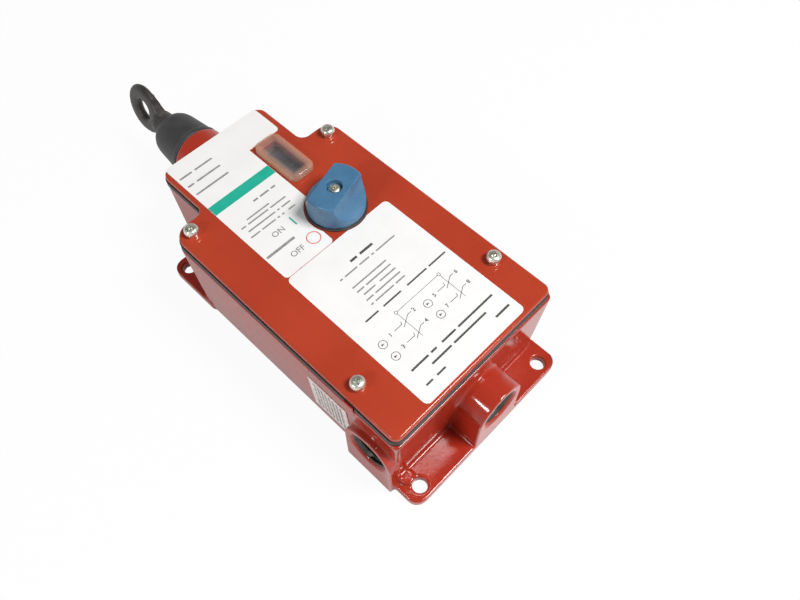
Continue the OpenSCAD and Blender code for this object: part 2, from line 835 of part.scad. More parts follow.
module spring_washer() {
  color([0.7, 0.7, 0.7]) along_rod(spring_front) tube(seat_r, rod_r + 1, washer_t);
}

module main_spring() {
  color([0.5, 0.52, 0.55]) along_rod(spring_rear + 0.05)
    coil_spring(spring_r, spring_wire / 2, spring_turns, spring_front - spring_rear - 0.1);
}

// ---------------------------------------------------------------- mechanism frame

module mechanism_frame() {
  color([0.68, 0.68, 0.62]) difference() {
    union() {
      translate([-frame_half_w, frame_rear, frame_z])
        cube([2 * frame_half_w, frame_front - frame_rear, frame_t]);
      translate([-upright_half_w, upright_y, frame_top])
        cube([2 * upright_half_w, upright_t, rod_z - frame_top]);
      along_rod(upright_y) cylinder(r = upright_half_w, h = upright_t);
    }
    at_frame_screws() translate([0, 0, frame_z - 1]) cylinder(r = frame_screw_d / 2 + 0.3, h = frame_t + 2);
    at_switch_screws() translate([0, 0, frame_z - 1]) cylinder(r = 1.5 + fit_gap, h = frame_t + 2);
    along_rod(upright_y - 1) cylinder(r = journal_r + bush_wall, h = upright_t + 2);
  }
}

module frame_screws() {
  color([0.72, 0.72, 0.7]) at_frame_screws()
    translate([0, 0, frame_top]) pan_screw(frame_screw_d, 6.6, 2.4, frame_top - 2.5);
}

module rear_bush() {
  color([0.72, 0.55, 0.3]) difference() {
    union() {
      along_rod(bush_rear) cylinder(r = journal_r + bush_wall - fit_gap, h = bush_front - bush_rear);
      along_rod(upright_y + upright_t)
        cylinder(r = journal_r + bush_wall + 1.5, h = bush_front - upright_y - upright_t);
    }
    along_rod(bush_rear - 1) cylinder(r = journal_r + run_gap, h = bush_front - bush_rear + 2);
  }
}

// ---------------------------------------------------------------- switch blocks

// Places children at the two screws of each switch block
module at_switch_screws() {
  for (s = [-1, 1])
    for (p = [[4, 4], [block_w - 4, block_l - 4]])
      translate([s * (block_off + p[0]), block_rear + p[1], 0]) children();
}

// Places children at the four terminals of each switch block
module at_terminals() {
  for (s = [-1, 1])
    for (x = [block_off + block_w / 4, block_off + block_w * 3 / 4])
      for (y = [deck_rear + 3.8, deck_rear + deck_l - 4])
        translate([s * x, y, deck_top]) children();
}

module switch_block(side) {
  mid_x = block_off + block_w / 2;
  bore_l = plunger_l + plunger_stroke + nose_x - block_off + 1;
  difference() {
    union() {
      translate([side > 0 ? block_off : -block_off - block_w, block_rear, frame_top])
        cube([block_w, block_l, block_h]);
      translate([side > 0 ? block_off : -block_off - block_w, deck_rear, frame_top])
        cube([block_w, deck_l, deck_h]);
      translate([side * mid_x - 0.6, deck_rear, deck_top - 1]) cube([1.2, deck_l, 6]);
    }
    translate([side * (block_off - 1), plunger_y, rod_z]) rotate([0, side * 90, 0])
      cylinder(r = plunger_r + run_gap, h = bore_l + 1);
    at_switch_screws() {
      translate([0, 0, frame_top - 1]) cylinder(r = 1.6, h = block_h + 2);
      translate([0, 0, block_top - 3]) cylinder(r = 3.1, h = 4);
    }
    at_terminals() translate([0, 0, -6]) cylinder(r = 1.3 + fit_gap, h = 7);
    if (side > 0)
      at_slide_screws() translate([0, 0, block_top - 6]) cylinder(r = 1.5 + fit_gap, h = 7);
  }
}

module left_switch_block() {
  color([0.2, 0.2, 0.22]) switch_block(-1);
}

module right_switch_block() {
  color([0.2, 0.2, 0.22]) switch_block(1);
}

module switch_screws() {
  color([0.72, 0.72, 0.7]) at_switch_screws()
    translate([0, 0, block_top - 3]) pan_screw(3, 5.4, 2, block_h - 3 + frame_t - 0.2);
}

module terminal_clamps() {
  color([0.75, 0.66, 0.4]) at_terminals() difference() {
    translate([-3, -2.5, 0]) cube([6, 5, 0.9]);
    translate([0, 0, -1]) cylinder(r = 1.5, h = 3);
  }
}

module terminal_screws() {
  color([0.75, 0.72, 0.6]) at_terminals() translate([0, 0, 0.9]) pan_screw(2.6, 4.6, 1.7, 6);
}

module ground_screw() {
  color([0.1, 0.5, 0.25]) translate([ground_x, ground_y, floor_t + ground_boss_h]) {
    cylinder(r = 2.25 * ground_r, h = 0.8);
    translate([0, 0, 0.8]) cylinder(r = 2 * ground_r, h = 2.6, $fn = 6);
    translate([0, 0, -4.5]) cylinder(r = ground_r, h = 4.6);
  }
}

// ---------------------------------------------------------------- labels

module operating_label() {
  x0 = -op_label_left;
  x1 = op_label_right;
  lens_left = window_x - lens_w / 2 - 0.9;
  lens_front = lens_cy + lens_l / 2 + 1.2;
  y1 = neck_front - 0.4;
  color([0.93, 0.93, 0.92]) translate([0, 0, top_z]) linear_extrude(label_t) difference() {
    union() {
      round_rect(x0, x1, lens_front, y1, op_label_r);
      round_rect(x0, lens_left, knob_cy, y1 - op_label_r, op_label_r);
      round_rect(x0, op_label_low_right, op_label_y0, y1 - op_label_r, op_label_r);
    }
    translate([knob_x, knob_cy]) circle(knob_notch_r);
  }
}

module wiring_label() {
  color([0.95, 0.95, 0.94]) translate([0, 0, top_z]) linear_extrude(label_t) difference() {
    round_rect(wiring_label_x0, wiring_label_x0 + wiring_label_w,
      wiring_label_y0, wiring_label_y0 + wiring_label_l, 2.5);
    translate([knob_x, knob_cy]) circle(knob_washer_d / 2 + move_gap);
  }
}

module side_label() {
  draft = atan((wall_inset + rim_out) / rim_z);
  color([0.82, 0.82, 0.8])
    translate([-cover_w / 2 + wall_inset, side_label_y0, 0]) rotate([0, -draft, 0])
      translate([-label_t - fit_gap, 0, side_label_z0])
        cube([label_t, side_label_w, side_label_h]);
}

// ---------------------------------------------------------------- pull rod

module cable_eye() {
  stud_r = 4;
  neck_r = eye_neck_d / 2;
  neck_start = boot_tip - 3;
  eye_out = eye_r + eye_half_breadth;
  ring_mid = eye_half_breadth - eye_stock_r;
  web_l = eye_out + 3.6;
  web_r = eye_out - 0.4;
  tangent = atan2(neck_r, -web_l) - acos(web_r / norm([web_l, neck_r]));
  touch = web_r * [cos(tangent), sin(tangent)];
  web_t = 5;
  color([0.16, 0.16, 0.17]) translate([0, 0, rod_z]) rotate([0, eye_turn, 0]) translate([0, 0, -rod_z]) {
    translate([0, eye_y, rod_z]) rotate([0, 90, 0])
      rotate_extrude($fn = 96) translate([eye_r, 0]) {
        for (s = [-1, 1]) translate([s * ring_mid, 0]) circle(eye_stock_r);
        square([2 * ring_mid, 2 * eye_stock_r], center = true);
      }
    difference() {
      union() {
        along_rod(neck_start) cylinder(r = neck_r, h = eye_reach - eye_out + 3);
        along_rod(neck_start + eye_reach - eye_out + 3)
          cylinder(r1 = neck_r, r2 = eye_stock_r, h = eye_stock_r * 1.6);
        translate([-web_t / 2, eye_y, rod_z]) rotate([90, 0, 90]) linear_extrude(web_t)
          polygon([[-web_l, -neck_r], [touch[0], -touch[1]], touch, [-web_l, neck_r]]);
      }
      translate([-neck_r - 1, eye_y, rod_z]) rotate([0, 90, 0])
        cylinder(r = eye_r - eye_half_breadth, h = 2 * neck_r + 2);
    }
    along_rod(rod_front - 9) cylinder(r = stud_r, h = neck_start - rod_front + 9.5);
  }
}

rod_front = boot_tip - 12;
module eye_lock_nut() {
  color([0.45, 0.46, 0.48]) along_rod(rod_front + 0.1)
    hex_nut(13, 4 + fit_gap, 6.5);
}

module pull_rod() {
  color([0.72, 0.73, 0.75]) difference() {
    union() {
      along_rod(rod_rear + 0.8) cylinder(r = journal_r, h = rod_shoulder - rod_rear - 0.8);
      along_rod(rod_rear) cylinder(r1 = journal_r - 0.8, r2 = journal_r, h = 0.8);
      along_rod(rod_shoulder) cylinder(r = rod_r, h = rod_front - rod_shoulder);
    }
    along_rod(rear_clip_y) tube(journal_r + 1, journal_r - groove_depth, clip_t);
    along_rod(collar_rear - clip_t) tube(rod_r + 1, rod_r - groove_depth, clip_t);
    along_rod(rod_front - 10) cylinder(r = 4 + fit_gap, h = 11);
    translate([0, cam_pin_y, rod_z - rod_r]) cylinder(r = cam_pin_d / 2 + fit_gap, h = rod_d);
  }
}

module spring_collar() {
  color([0.6, 0.6, 0.58]) difference() {
    union() {
      along_rod(collar_rear) cylinder(r = seat_r, h = collar_t);
      along_rod(spring_rear) cylinder(r = spring_r - spring_wire / 2 - 0.4, h = 2.5);
    }
    along_rod(collar_rear - 1) cylinder(r = rod_r + fit_gap, h = collar_t + 5);
  }
}

// A retaining ring on +Z, open on one side
module clip(groove_r) {
  difference() {
    tube(groove_r + 3.4, groove_r + fit_gap, clip_t);
    translate([0, -groove_r * 0.6, -1]) cube([groove_r + 5, groove_r * 1.2, clip_t + 2]);
  }
}

module retaining_clips() {
  color([0.3, 0.3, 0.32]) {
    along_rod(rear_clip_y) clip(journal_r - groove_depth);
    along_rod(collar_rear - clip_t) clip(rod_r - groove_depth);
  }
}

// Cam: flat ramps on both sides push the plungers out as the rod is pulled
module cam_sleeve() {
  half_rear = cam_half_w + cam_ramp_l * ramp_slope;
  ramp_rear = cam_ramp_front - cam_ramp_l;
  color([0.85, 0.83, 0.75]) difference() {
    union() {
      translate([0, 0, rod_z - cam_h / 2]) linear_extrude(cam_h) polygon([
        [-half_rear, cam_rear], [half_rear, cam_rear], [half_rear, ramp_rear],
        [cam_half_w, cam_ramp_front], [cam_half_w, cam_front],
        [-cam_half_w, cam_front], [-cam_half_w, cam_ramp_front], [-half_rear, ramp_rear]]);
      translate([latch_x - latch_w / 2, tooth_front - tooth_l, rod_z + cam_h / 2 - 1])
        cube([latch_w, tooth_l, tooth_h + 1]);
    }
    along_rod(cam_rear - 1) cylinder(r = journal_r + fit_gap, h = cam_front - cam_rear + 2);
    translate([0, cam_pin_y, rod_z - cam_h]) cylinder(r = cam_pin_d / 2 + fit_gap, h = 2 * cam_h);
  }
}

module cam_pin() {
  color([0.55, 0.56, 0.58]) translate([0, cam_pin_y, rod_z - cam_h / 2])
    cylinder(r = cam_pin_d / 2, h = cam_h);
}

// Flag: a ring on the rod, a bent arm and a ribbed plate that lies under the window
module indicator_flag() {
  ring_r = journal_r + 4;
  plate_z = cover_z - 5.2;
  plate_w = lens_slot_w - 0.7;
  tip_y = lens_cy + lens_slot_l / 2 + 1;
  y0 = rod_shoulder - flag_t - run_gap;
  x0 = window_x - plate_w / 2;
  rib_pitch = 2.8;
  rib_w = 1.2;
  color([0.14, 0.15, 0.15]) {
    difference() {
      union() {
        along_rod(y0) cylinder(r = ring_r, h = flag_t);
        translate([-5, y0, rod_z]) cube([10, flag_t, plate_z - rod_z]);
        translate([-5, y0, plate_z - 6]) cube([window_x + plate_w / 2 + 5, flag_t, 6 + flag_t]);
      }
      along_rod(y0 - 1) cylinder(r = journal_r + fit_gap, h = flag_t + 2);
    }
    translate([x0, y0, plate_z]) cube([plate_w, tip_y - y0, flag_t]);
    for (y = [tip_y - rib_w : -rib_pitch : lens_cy - lens_slot_l / 2])
      translate([x0, y, plate_z]) cube([plate_w, rib_w, flag_t + 0.7]);
  }
}

// ---------------------------------------------------------------- latch and plungers

// Places children at the two guide screws of the latch slide
module at_slide_screws() {
  for (i = [0, 1]) translate([guide_x, guide_front - i * guide_pitch, 0]) children();
}

module slide_screws() {
  color([0.72, 0.72, 0.7]) at_slide_screws() {
    translate([0, 0, block_top]) cylinder(r = guide_r, h = slide_z + slide_t + 0.3 - block_top);
    translate([0, 0, block_top - 5.5]) cylinder(r = 1.5, h = 5.6);
    translate([0, 0, slide_z + slide_t + 0.3]) pan_head(6.4, 1.9);
  }
}

module latch_slide() {
  slot_r = guide_r + move_gap;
  pin_slot = crank_pin_r + move_gap;
  pin_run = crank_r * (1 - cos(knob_swing / 2));
  right_x = guide_x + 6;
  color([0.66, 0.66, 0.6]) translate([0, 0, slide_z]) linear_extrude(slide_t) difference() {
    union() {
      translate([10, far_edge + 81]) square([right_x - 10, 28]);
      translate([1.5, pin_y - 4]) square([12, 8]);
      translate([latch_x - latch_w / 2, slide_arm_y]) square([20, slide_arm_w]);
    }
    at_slide_screws() {
      circle(slot_r);
      translate([0, -slide_travel]) circle(slot_r);
      translate([-slot_r, -slide_travel]) square([2 * slot_r, slide_travel]);
    }
    translate([pin_x, pin_y]) circle(pin_slot);
    translate([pin_x - pin_run, pin_y]) circle(pin_slot);
    translate([pin_x - pin_run, pin_y - pin_slot]) square([pin_run, 2 * pin_slot]);
  }
}

module plunger(side) {
  translate([side * nose_x, plunger_y, rod_z]) {
    sphere(r = plunger_r);
    rotate([0, side * 90, 0]) cylinder(r = plunger_r, h = plunger_l);
  }
}

module left_plunger() {
  color([0.85, 0.2, 0.15]) plunger(-1);
}

module right_plunger() {
  color([0.85, 0.2, 0.15]) plunger(1);
}

housing();
cover();
cover_gasket();
cover_screws();
window_lens();
window_retainer();
knob_washer();
knob_bushing();
bushing_nut();
detent_spring();
front_bush();
shaft_wiper();
rubber_boot();
spring_washer();
main_spring();
mechanism_frame();
frame_screws();
rear_bush();
left_switch_block();
right_switch_block();
switch_screws();
terminal_clamps();
terminal_screws();
ground_screw();
slide_screws();
operating_label();
wiring_label();
side_label();
cable_eye();
eye_lock_nut();
pull_rod();
spring_collar();
retaining_clips();
cam_sleeve();
cam_pin();
indicator_flag();
reset_knob();
knob_screw();
knob_shaft();
knob_clip();
latch_slide();
left_plunger();
right_plunger();
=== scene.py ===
import math

import bmesh
import bpy
from mathutils import Matrix, Vector


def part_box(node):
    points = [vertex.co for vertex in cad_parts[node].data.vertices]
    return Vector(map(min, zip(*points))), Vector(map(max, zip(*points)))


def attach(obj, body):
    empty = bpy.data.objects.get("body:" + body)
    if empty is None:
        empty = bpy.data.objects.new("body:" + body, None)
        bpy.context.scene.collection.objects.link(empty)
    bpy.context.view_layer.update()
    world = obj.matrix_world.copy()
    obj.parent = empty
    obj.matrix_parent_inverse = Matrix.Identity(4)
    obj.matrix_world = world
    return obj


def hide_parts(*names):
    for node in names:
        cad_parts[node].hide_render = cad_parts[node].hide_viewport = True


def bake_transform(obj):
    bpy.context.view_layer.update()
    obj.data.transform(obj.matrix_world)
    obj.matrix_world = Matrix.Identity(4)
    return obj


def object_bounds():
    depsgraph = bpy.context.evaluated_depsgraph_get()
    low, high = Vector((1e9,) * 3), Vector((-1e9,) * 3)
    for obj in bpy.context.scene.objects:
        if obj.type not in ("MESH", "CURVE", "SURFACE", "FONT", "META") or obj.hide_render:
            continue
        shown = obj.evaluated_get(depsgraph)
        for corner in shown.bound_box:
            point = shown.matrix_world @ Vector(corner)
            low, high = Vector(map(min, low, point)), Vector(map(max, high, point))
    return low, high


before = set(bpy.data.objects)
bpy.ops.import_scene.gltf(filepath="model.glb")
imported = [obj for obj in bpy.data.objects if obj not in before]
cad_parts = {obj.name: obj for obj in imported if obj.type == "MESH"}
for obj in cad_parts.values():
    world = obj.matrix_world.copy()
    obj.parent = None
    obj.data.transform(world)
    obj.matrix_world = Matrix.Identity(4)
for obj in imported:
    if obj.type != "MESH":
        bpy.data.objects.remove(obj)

solids_low, solids_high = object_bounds()

# --- Camera ------------------------------------------------------------------------------
# Held above the side conduit entry and looking down at sixty degrees, with the pull eye
# to the upper left.


def link(name, data):
    """An object in the scene for a mesh, a lamp or the camera."""
    made = bpy.data.objects.new(name, data)
    bpy.context.scene.collection.objects.link(made)
    return made


camera_data = bpy.data.cameras.new("camera")
camera_data.sensor_width = 36.0
camera_data.lens = 32.74
camera_data.clip_start = 0.01
camera_data.clip_end = 20.0
camera = link("camera", camera_data)
camera_place = (-0.11364, -0.13756, 0.32245)
upward = Vector((0.61992, 0.60197, 0.50332))
to_right = Vector((0.69480, -0.71919, 0.00439)).normalized()
to_viewer = to_right.cross(upward).normalized()
camera.matrix_world = Matrix.Translation(camera_place) @ Matrix(
    (to_right, to_viewer.cross(to_right), to_viewer)).transposed().to_4x4()
bpy.context.scene.camera = camera
bpy.context.scene.view_settings.view_transform = "Standard"

# --- Table and tent ----------------------------------------------------------------------
# White paper under a tent of white cloth that is open at its top, so that upright faces
# mirror white and the cover mirrors a dim ceiling. A soft lamp hangs over it, and a small
# one stands beside it.
ceiling = 0.16
cloth = 0.34
cloth_rise = (0.25, 0.75)
mirrored_cloth = 0.55
mirrored_rise = (0.10, 0.45)
lamps = (
    ("lamp_overhead", (0.28, -0.53, 0.96), 0.34, 10.8),
    ("lamp_beside", (-0.80, 0.05, 0.60), 0.12, 2.2),
)
lamp_aim = Vector((0, 0.03, 0.03))
paper_half = 6.0
paper_gap = 0.0001
paper_glow = 0.94
mirrored_glow = 0.35
white = (1, 1, 1, 1)


def bare(made):
    """A material or a world without nodes, and its node tree."""
    made.use_nodes = True
    made.node_tree.nodes.clear()
    return made, made.node_tree


def put(tree, kind, settings=None, **sockets):
    """Adds a node. A socket goes by its name, or by its number as in i0. One that is given
    another socket is linked, and any other value is set."""
    made = tree.nodes.new(kind)
    for key, value in (settings or {}).items():
        setattr(made, key, value)
    for key, value in sockets.items():
        numbered = key[0] == "i" and key[1:].isdigit()
        socket = made.inputs[int(key[1:]) if numbered else key.replace("_", " ")]
        if isinstance(value, bpy.types.NodeSocket):
            tree.links.new(value, socket)
        else:
            socket.default_value = value
    return made


def math_of(tree, operation, *values):
    """The sum, product or the like of sockets and plain numbers."""
    numbered = {"i" + str(k): value for k, value in enumerate(values)}
    return put(tree, "ShaderNodeMath", {"operation": operation}, **numbered).outputs[0]


def mapped(tree, value, start, end, low, high, ease="LINEAR"):
    """A value that goes from low to high while another goes from start to end."""
    return put(tree, "ShaderNodeMapRange", {"interpolation_type": ease}, Value=value, From_Min=start,
               From_Max=end, To_Min=low, To_Max=high).outputs[0]


def either(tree, *rays):
    """1 where a ray is one of these kinds, else 0."""
    path = put(tree, "ShaderNodeLightPath")
    total = path.outputs[rays[0]]
    for ray in rays[1:]:
        total = math_of(tree, "MAXIMUM", total, path.outputs[ray])
    return total


tent, air = bare(bpy.data.worlds.new("tent"))
direction = put(air, "ShaderNodeTexCoord").outputs["Generated"]
height = put(air, "ShaderNodeSeparateXYZ", Vector=direction).outputs["Z"]
tent_sides = put(air, "ShaderNodeBackground", Color=white,
                 Strength=mapped(air, height, *cloth_rise, cloth, ceiling, "SMOOTHSTEP"))
tent_seen = put(air, "ShaderNodeBackground", Color=white, Strength=1.0)
tent_mirrored = math_of(air, "MULTIPLY", either(air, "Is Glossy Ray"),
                        mapped(air, height, *mirrored_rise, mirrored_cloth, 0.0, "SMOOTHSTEP"))
tent_share = math_of(air, "MAXIMUM", tent_mirrored, either(air, "Is Camera Ray", "Is Transmission Ray"))
tent_both = put(air, "ShaderNodeMixShader", i0=tent_share, i1=tent_sides.outputs[0],
                i2=tent_seen.outputs[0])
put(air, "ShaderNodeOutputWorld", Surface=tent_both.outputs[0])
bpy.context.scene.world = tent

for lamp_name, lamp_place, lamp_size, lamp_power in lamps:
    lamp_data = bpy.data.lights.new(lamp_name, "AREA")
    lamp_data.size = lamp_size
    lamp_data.energy = lamp_power
    lamp = link(lamp_name, lamp_data)
    lamp.location = lamp_place
    lamp.rotation_euler = (lamp_aim - lamp.location).to_track_quat("-Z", "Y").to_euler()

paper_mesh = bpy.data.meshes.new("paper")
paper_mesh.from_pydata([(x * paper_half, y * paper_half, solids_low.z - paper_gap)
                        for x, y in ((-1, -1), (1, -1), (1, 1), (-1, 1))], [], [(0, 1, 2, 3)])
paper_sheet = link("paper", paper_mesh)
white_paper, paper = bare(bpy.data.materials.new("white_paper"))
matt = put(paper, "ShaderNodeBsdfDiffuse", Color=(0.90, 0.90, 0.90, 1))
glow = put(paper, "ShaderNodeEmission", Color=white, Strength=1.0)
paper_seen = math_of(paper, "MULTIPLY", either(paper, "Is Camera Ray", "Is Transmission Ray"), paper_glow)
paper_mirrored = math_of(paper, "MULTIPLY", either(paper, "Is Glossy Ray"), mirrored_glow)
paper_share = math_of(paper, "MAXIMUM", paper_seen, paper_mirrored)
paper_both = put(paper, "ShaderNodeMixShader", i0=paper_share, i1=matt.outputs[0], i2=glow.outputs[0])
put(paper, "ShaderNodeOutputMaterial", Surface=paper_both.outputs[0])
paper_mesh.materials.append(white_paper)

# --- Housing -----------------------------------------------------------------------------
# Die-cast box with feet, neck, snout and conduit bosses, cast with draft and enamelled red.
# The casting has no sharp edge outside, and a small fillet in every inner corner.
mm = 0.001
housing_red = (0.44, 0.036, 0.016)
housing_red_thin = (0.38, 0.028, 0.013)
cast_edge_grid = 0.55 * mm
cast_edge_passes = 6
housing_triangles = 150000


def finish(name, colour, shade, patch, rough, grain, depth, metal=0.0, edge_rub=None):
    """A finish that drifts from shade to colour over patches of one size in metres, with a
    relief of finer grain. Roughness varies with both, and edge_rub is a colour for worn edges."""
    made, tree = bare(bpy.data.materials.new(name))
    place = put(tree, "ShaderNodeTexCoord").outputs["Object"]
    broad = put(tree, "ShaderNodeTexNoise", Vector=place, Scale=1 / patch, Detail=4.0,
                Roughness=0.6).outputs[0]
    fine = put(tree, "ShaderNodeTexNoise", Vector=place, Scale=1 / grain, Detail=2.0).outputs[0]
    tint = put(tree, "ShaderNodeValToRGB", Fac=broad)
    for stop, share, tone in zip(tint.color_ramp.elements, (0.38, 0.62), (shade, colour)):
        stop.position = share
        stop.color = (*tone, 1)
    skin = tint.outputs[0]
    if edge_rub:
        bend = put(tree, "ShaderNodeNewGeometry").outputs["Pointiness"]
        worn = mapped(tree, bend, 0.53, 0.62, 0.0, 0.7)
        skin = put(tree, "ShaderNodeMix", {"data_type": "RGBA"}, i0=worn, i6=skin,
                   i7=(*edge_rub, 1)).outputs[2]
    gloss = mapped(tree, math_of(tree, "ADD", broad, fine), 0.8, 1.2, *rough)
    relief = put(tree, "ShaderNodeBump", Height=fine, Distance=depth, Strength=1.0).outputs[0]
    shader = put(tree, "ShaderNodeBsdfPrincipled", Base_Color=skin, Roughness=gloss, Normal=relief,
                 Metallic=metal)
    put(tree, "ShaderNodeOutputMaterial", Surface=shader.outputs[0])
    return made


def settle(source, name, material):
    """Turns an object with its modifiers into a plain mesh object at the origin."""
    bpy.context.view_layer.update()
    graph = bpy.context.evaluated_depsgraph_get()
    mesh = bpy.data.meshes.new_from_object(source.evaluated_get(graph), depsgraph=graph)
    mesh.name = name
    mesh.transform(source.matrix_world)
    mesh.materials.clear()
    mesh.materials.append(material)
    bpy.data.objects.remove(source)
    return link(name, mesh)


def copied(node, name, flat=None):
    """A copy of a solid with its triangles joined, and its flat faces made whole up to an angle."""
    made = link(name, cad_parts[node].data.copy())
    work = bmesh.new()
    work.from_mesh(made.data)
    bmesh.ops.remove_doubles(work, verts=work.verts, dist=1e-7)
    if flat:
        bmesh.ops.dissolve_limit(work, angle_limit=math.radians(flat), verts=work.verts, edges=work.edges)
    work.to_mesh(made.data)
    work.free()
    return made


def as_cast(node, name, material, grid, passes, triangles):
    """A copy of a solid whose edges and corners are rounded as casting or moulding leaves them."""
    rough = copied(node, name + "_rough")
    remesh = rough.modifiers.new("remesh", "REMESH")
    remesh.mode = "VOXEL"
    remesh.voxel_size = grid * 1
    remesh.use_smooth_shade = True
    smooth = rough.modifiers.new("smooth", "SMOOTH")
    smooth.factor = 0.5
    smooth.iterations = passes
    bpy.context.view_layer.update()
    whole = rough.evaluated_get(bpy.context.evaluated_depsgraph_get())
    count = sum(len(face.vertices) - 2 for face in whole.data.polygons)
    thin = rough.modifiers.new("thin", "DECIMATE")
    thin.ratio = min(1.0, triangles / count)
    rough.modifiers.new("normals", "WEIGHTED_NORMAL")
    return settle(rough, name, material)


red_enamel = finish("red_enamel", housing_red, housing_red_thin, 30 * mm, (0.10, 0.18), 4.5 * mm,
                    0.0016 * mm)
housing_shell = as_cast("housing", "housing_shell", red_enamel, cast_edge_grid, cast_edge_passes,
                        housing_triangles)
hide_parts("housing")
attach(housing_shell, "box")

# --- Conduit threads ---------------------------------------------------------------------
# The taper thread of both conduit entries, tapped after enamelling, so that its turns are bare
# grey metal. Its dark grey is that bare metal with painted shade of the deep bore in it, and a
# dark sleeve behind it is painted shade over the bore wall. It winds along the bore of each boss.
thread_pitch = 1.814 * mm
thread_mean_r = 9.315 * mm
thread_ridge_r = 0.62 * mm
thread_turns = 6.5
thread_start = 1.6 * mm
bore_r = 9.5 * mm
shade_sleeve_out = bore_r + 0.05 * mm
shade_sleeve_in = bore_r - 0.12 * mm
shade_sleeve_lead = 0.3 * mm
shade_sleeve_steps = 64
conduit_z = 26.2 * mm
end_conduit_x = 2.3 * mm
side_conduit_y = -60.4 * mm
# Dark grey of bare metal with painted shade of the deep bore in it.
bare_thread_painted_shade = finish("bare_thread_painted_shade", (0.12, 0.115, 0.105), (0.055, 0.05, 0.045), 3 * mm, (0.30, 0.5),
                      0.3 * mm, 0.006 * mm, metal=0.6)


def new_tree(name, **sizes):
    """A geometry tree with inputs for these sizes and for its finish, and its input sockets."""
    tree = bpy.data.node_groups.new(name, "GeometryNodeTree")
    for label, kind in {"Geometry": "Geometry", **sizes, "Finish": "Material"}.items():
        tree.interface.new_socket(label.replace("_", " "), in_out="INPUT",
                                  socket_type="NodeSocket" + kind)
    tree.interface.new_socket("Geometry", in_out="OUTPUT", socket_type="NodeSocketGeometry")
    return tree, tree.nodes.new("NodeGroupInput").outputs


def end_tree(tree, given, result):
    """Ends a tree with its result as plain geometry in the given finish."""
    real = put(tree, "GeometryNodeRealizeInstances", Geometry=result.outputs[0])
    dressed = put(tree, "GeometryNodeSetMaterial", Geometry=real.outputs[0], Material=given["Finish"])
    tree.links.new(dressed.outputs[0], tree.nodes.new("NodeGroupOutput").inputs[0])
    return tree


def winding_tree():
    """A wire wound on +Z, with its mean radius, its rise per turn, its turns and its own radius."""
    tree, given = new_tree("winding", Mean_Radius="Float", Rise="Float", Turns="Float", Wire_Radius="Float",
                           Steps="Int", Sides="Int")
    helix = put(tree, "GeometryNodeCurveSpiral", Resolution=given["Steps"], Rotations=given["Turns"],
                Start_Radius=given["Mean Radius"], End_Radius=given["Mean Radius"],
                Height=math_of(tree, "MULTIPLY", given["Rise"], given["Turns"]))
    upright = put(tree, "GeometryNodeSetCurveNormal", {"mode": "Z_UP"}, Curve=helix.outputs[0])
    section = put(tree, "GeometryNodeCurvePrimitiveCircle", Resolution=given["Sides"],
                  Radius=given["Wire Radius"])
    wire = put(tree, "GeometryNodeCurveToMesh", Curve=upright.outputs[0], Profile_Curve=section.outputs[0],
               Fill_Caps=True)
    return end_tree(tree, given, put(tree, "GeometryNodeSetShadeSmooth", Geometry=wire.outputs[0]))


def grown(tree, name, material, base=None, **values):
    """The mesh that a tree makes with these values, as a plain object at the origin."""
    seed = link(name + "_seed", base or bpy.data.meshes.new(name + "_seed"))
    grower = seed.modifiers.new("grow", "NODES")
    grower.node_group = tree
    sockets = {item.name: item.identifier for item in tree.interface.items_tree
               if item.item_type == "SOCKET" and item.in_out == "INPUT"}
    grower[sockets["Finish"]] = material
    for key, value in values.items():
        grower[sockets[key.replace("_", " ")]] = value
    return settle(seed, name, material)


def circle(work, radius, z, steps, middle=(0.0, 0.0)):
    """Points on a circle around the Z axis, or around a middle beside it."""
    return [work.verts.new((middle[0] + radius * math.cos(a), middle[1] + radius * math.sin(a), z))
            for a in (2 * math.pi * i / steps for i in range(steps))]


def bridge(work, near, far):
    """Faces from one ring of points to the next."""
    count = len(near)
    for i in range(count):
        j = (i + 1) % count
        work.faces.new((near[i], near[j], far[j], far[i]))


def close_ring(work, rings):
    """Faces all round a hollow ring, from each ring of points to the next and back to the first."""
    for k, near in enumerate(rings):
        bridge(work, near, rings[(k + 1) % len(rings)])


def ridge_and_bore(name, mouth, inward):
    """Thread ridges and a dark sleeve of painted shade behind them, from the mouth of a conduit entry."""
    turn = Vector((0, 0, 1)).rotation_difference(Vector(inward)).to_matrix().to_4x4()
    ridges = grown(winding, name, bare_thread_painted_shade, Mean_Radius=thread_mean_r, Rise=thread_pitch,
                   Turns=thread_turns, Wire_Radius=thread_ridge_r, Steps=40, Sides=6)
    ridges.data.transform(Matrix.Translation((0, 0, thread_start)))
    start, end = thread_start - shade_sleeve_lead, thread_start + thread_turns * thread_pitch
    work = bmesh.new()
    work.from_mesh(ridges.data)
    # The dark sleeve: painted shade over the red wall of the bore, behind the ridges.
    close_ring(work, [circle(work, r, z, shade_sleeve_steps) for r, z in (
        (shade_sleeve_out, start), (shade_sleeve_in, start), (shade_sleeve_in, end), (shade_sleeve_out, end))])
    for face in work.faces:
        face.smooth = True
    bmesh.ops.recalc_face_normals(work, faces=work.faces)
    work.to_mesh(ridges.data)
    work.free()
    ridges.data.transform(Matrix.Translation(mouth) @ turn)
    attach(ridges, "box")


winding = winding_tree()
ridge_and_bore("end_conduit_thread", (end_conduit_x, solids_low.y, conduit_z), (0, 1, 0))
ridge_and_bore("side_conduit_thread", (solids_low.x, side_conduit_y, conduit_z), (1, 0, 0))

# --- Inside of the box -------------------------------------------------------------------
# Zinc-plated frame and screws, two black switch blocks with brass terminals, sintered
# bronze bushes, an acetal cam and red plungers. All stay as the solids have them.


def dress(material, *nodes):
    """Gives pieces of the frame a finish."""
    for node in nodes:
        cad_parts[node].data.materials.clear()
        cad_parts[node].data.materials.append(material)


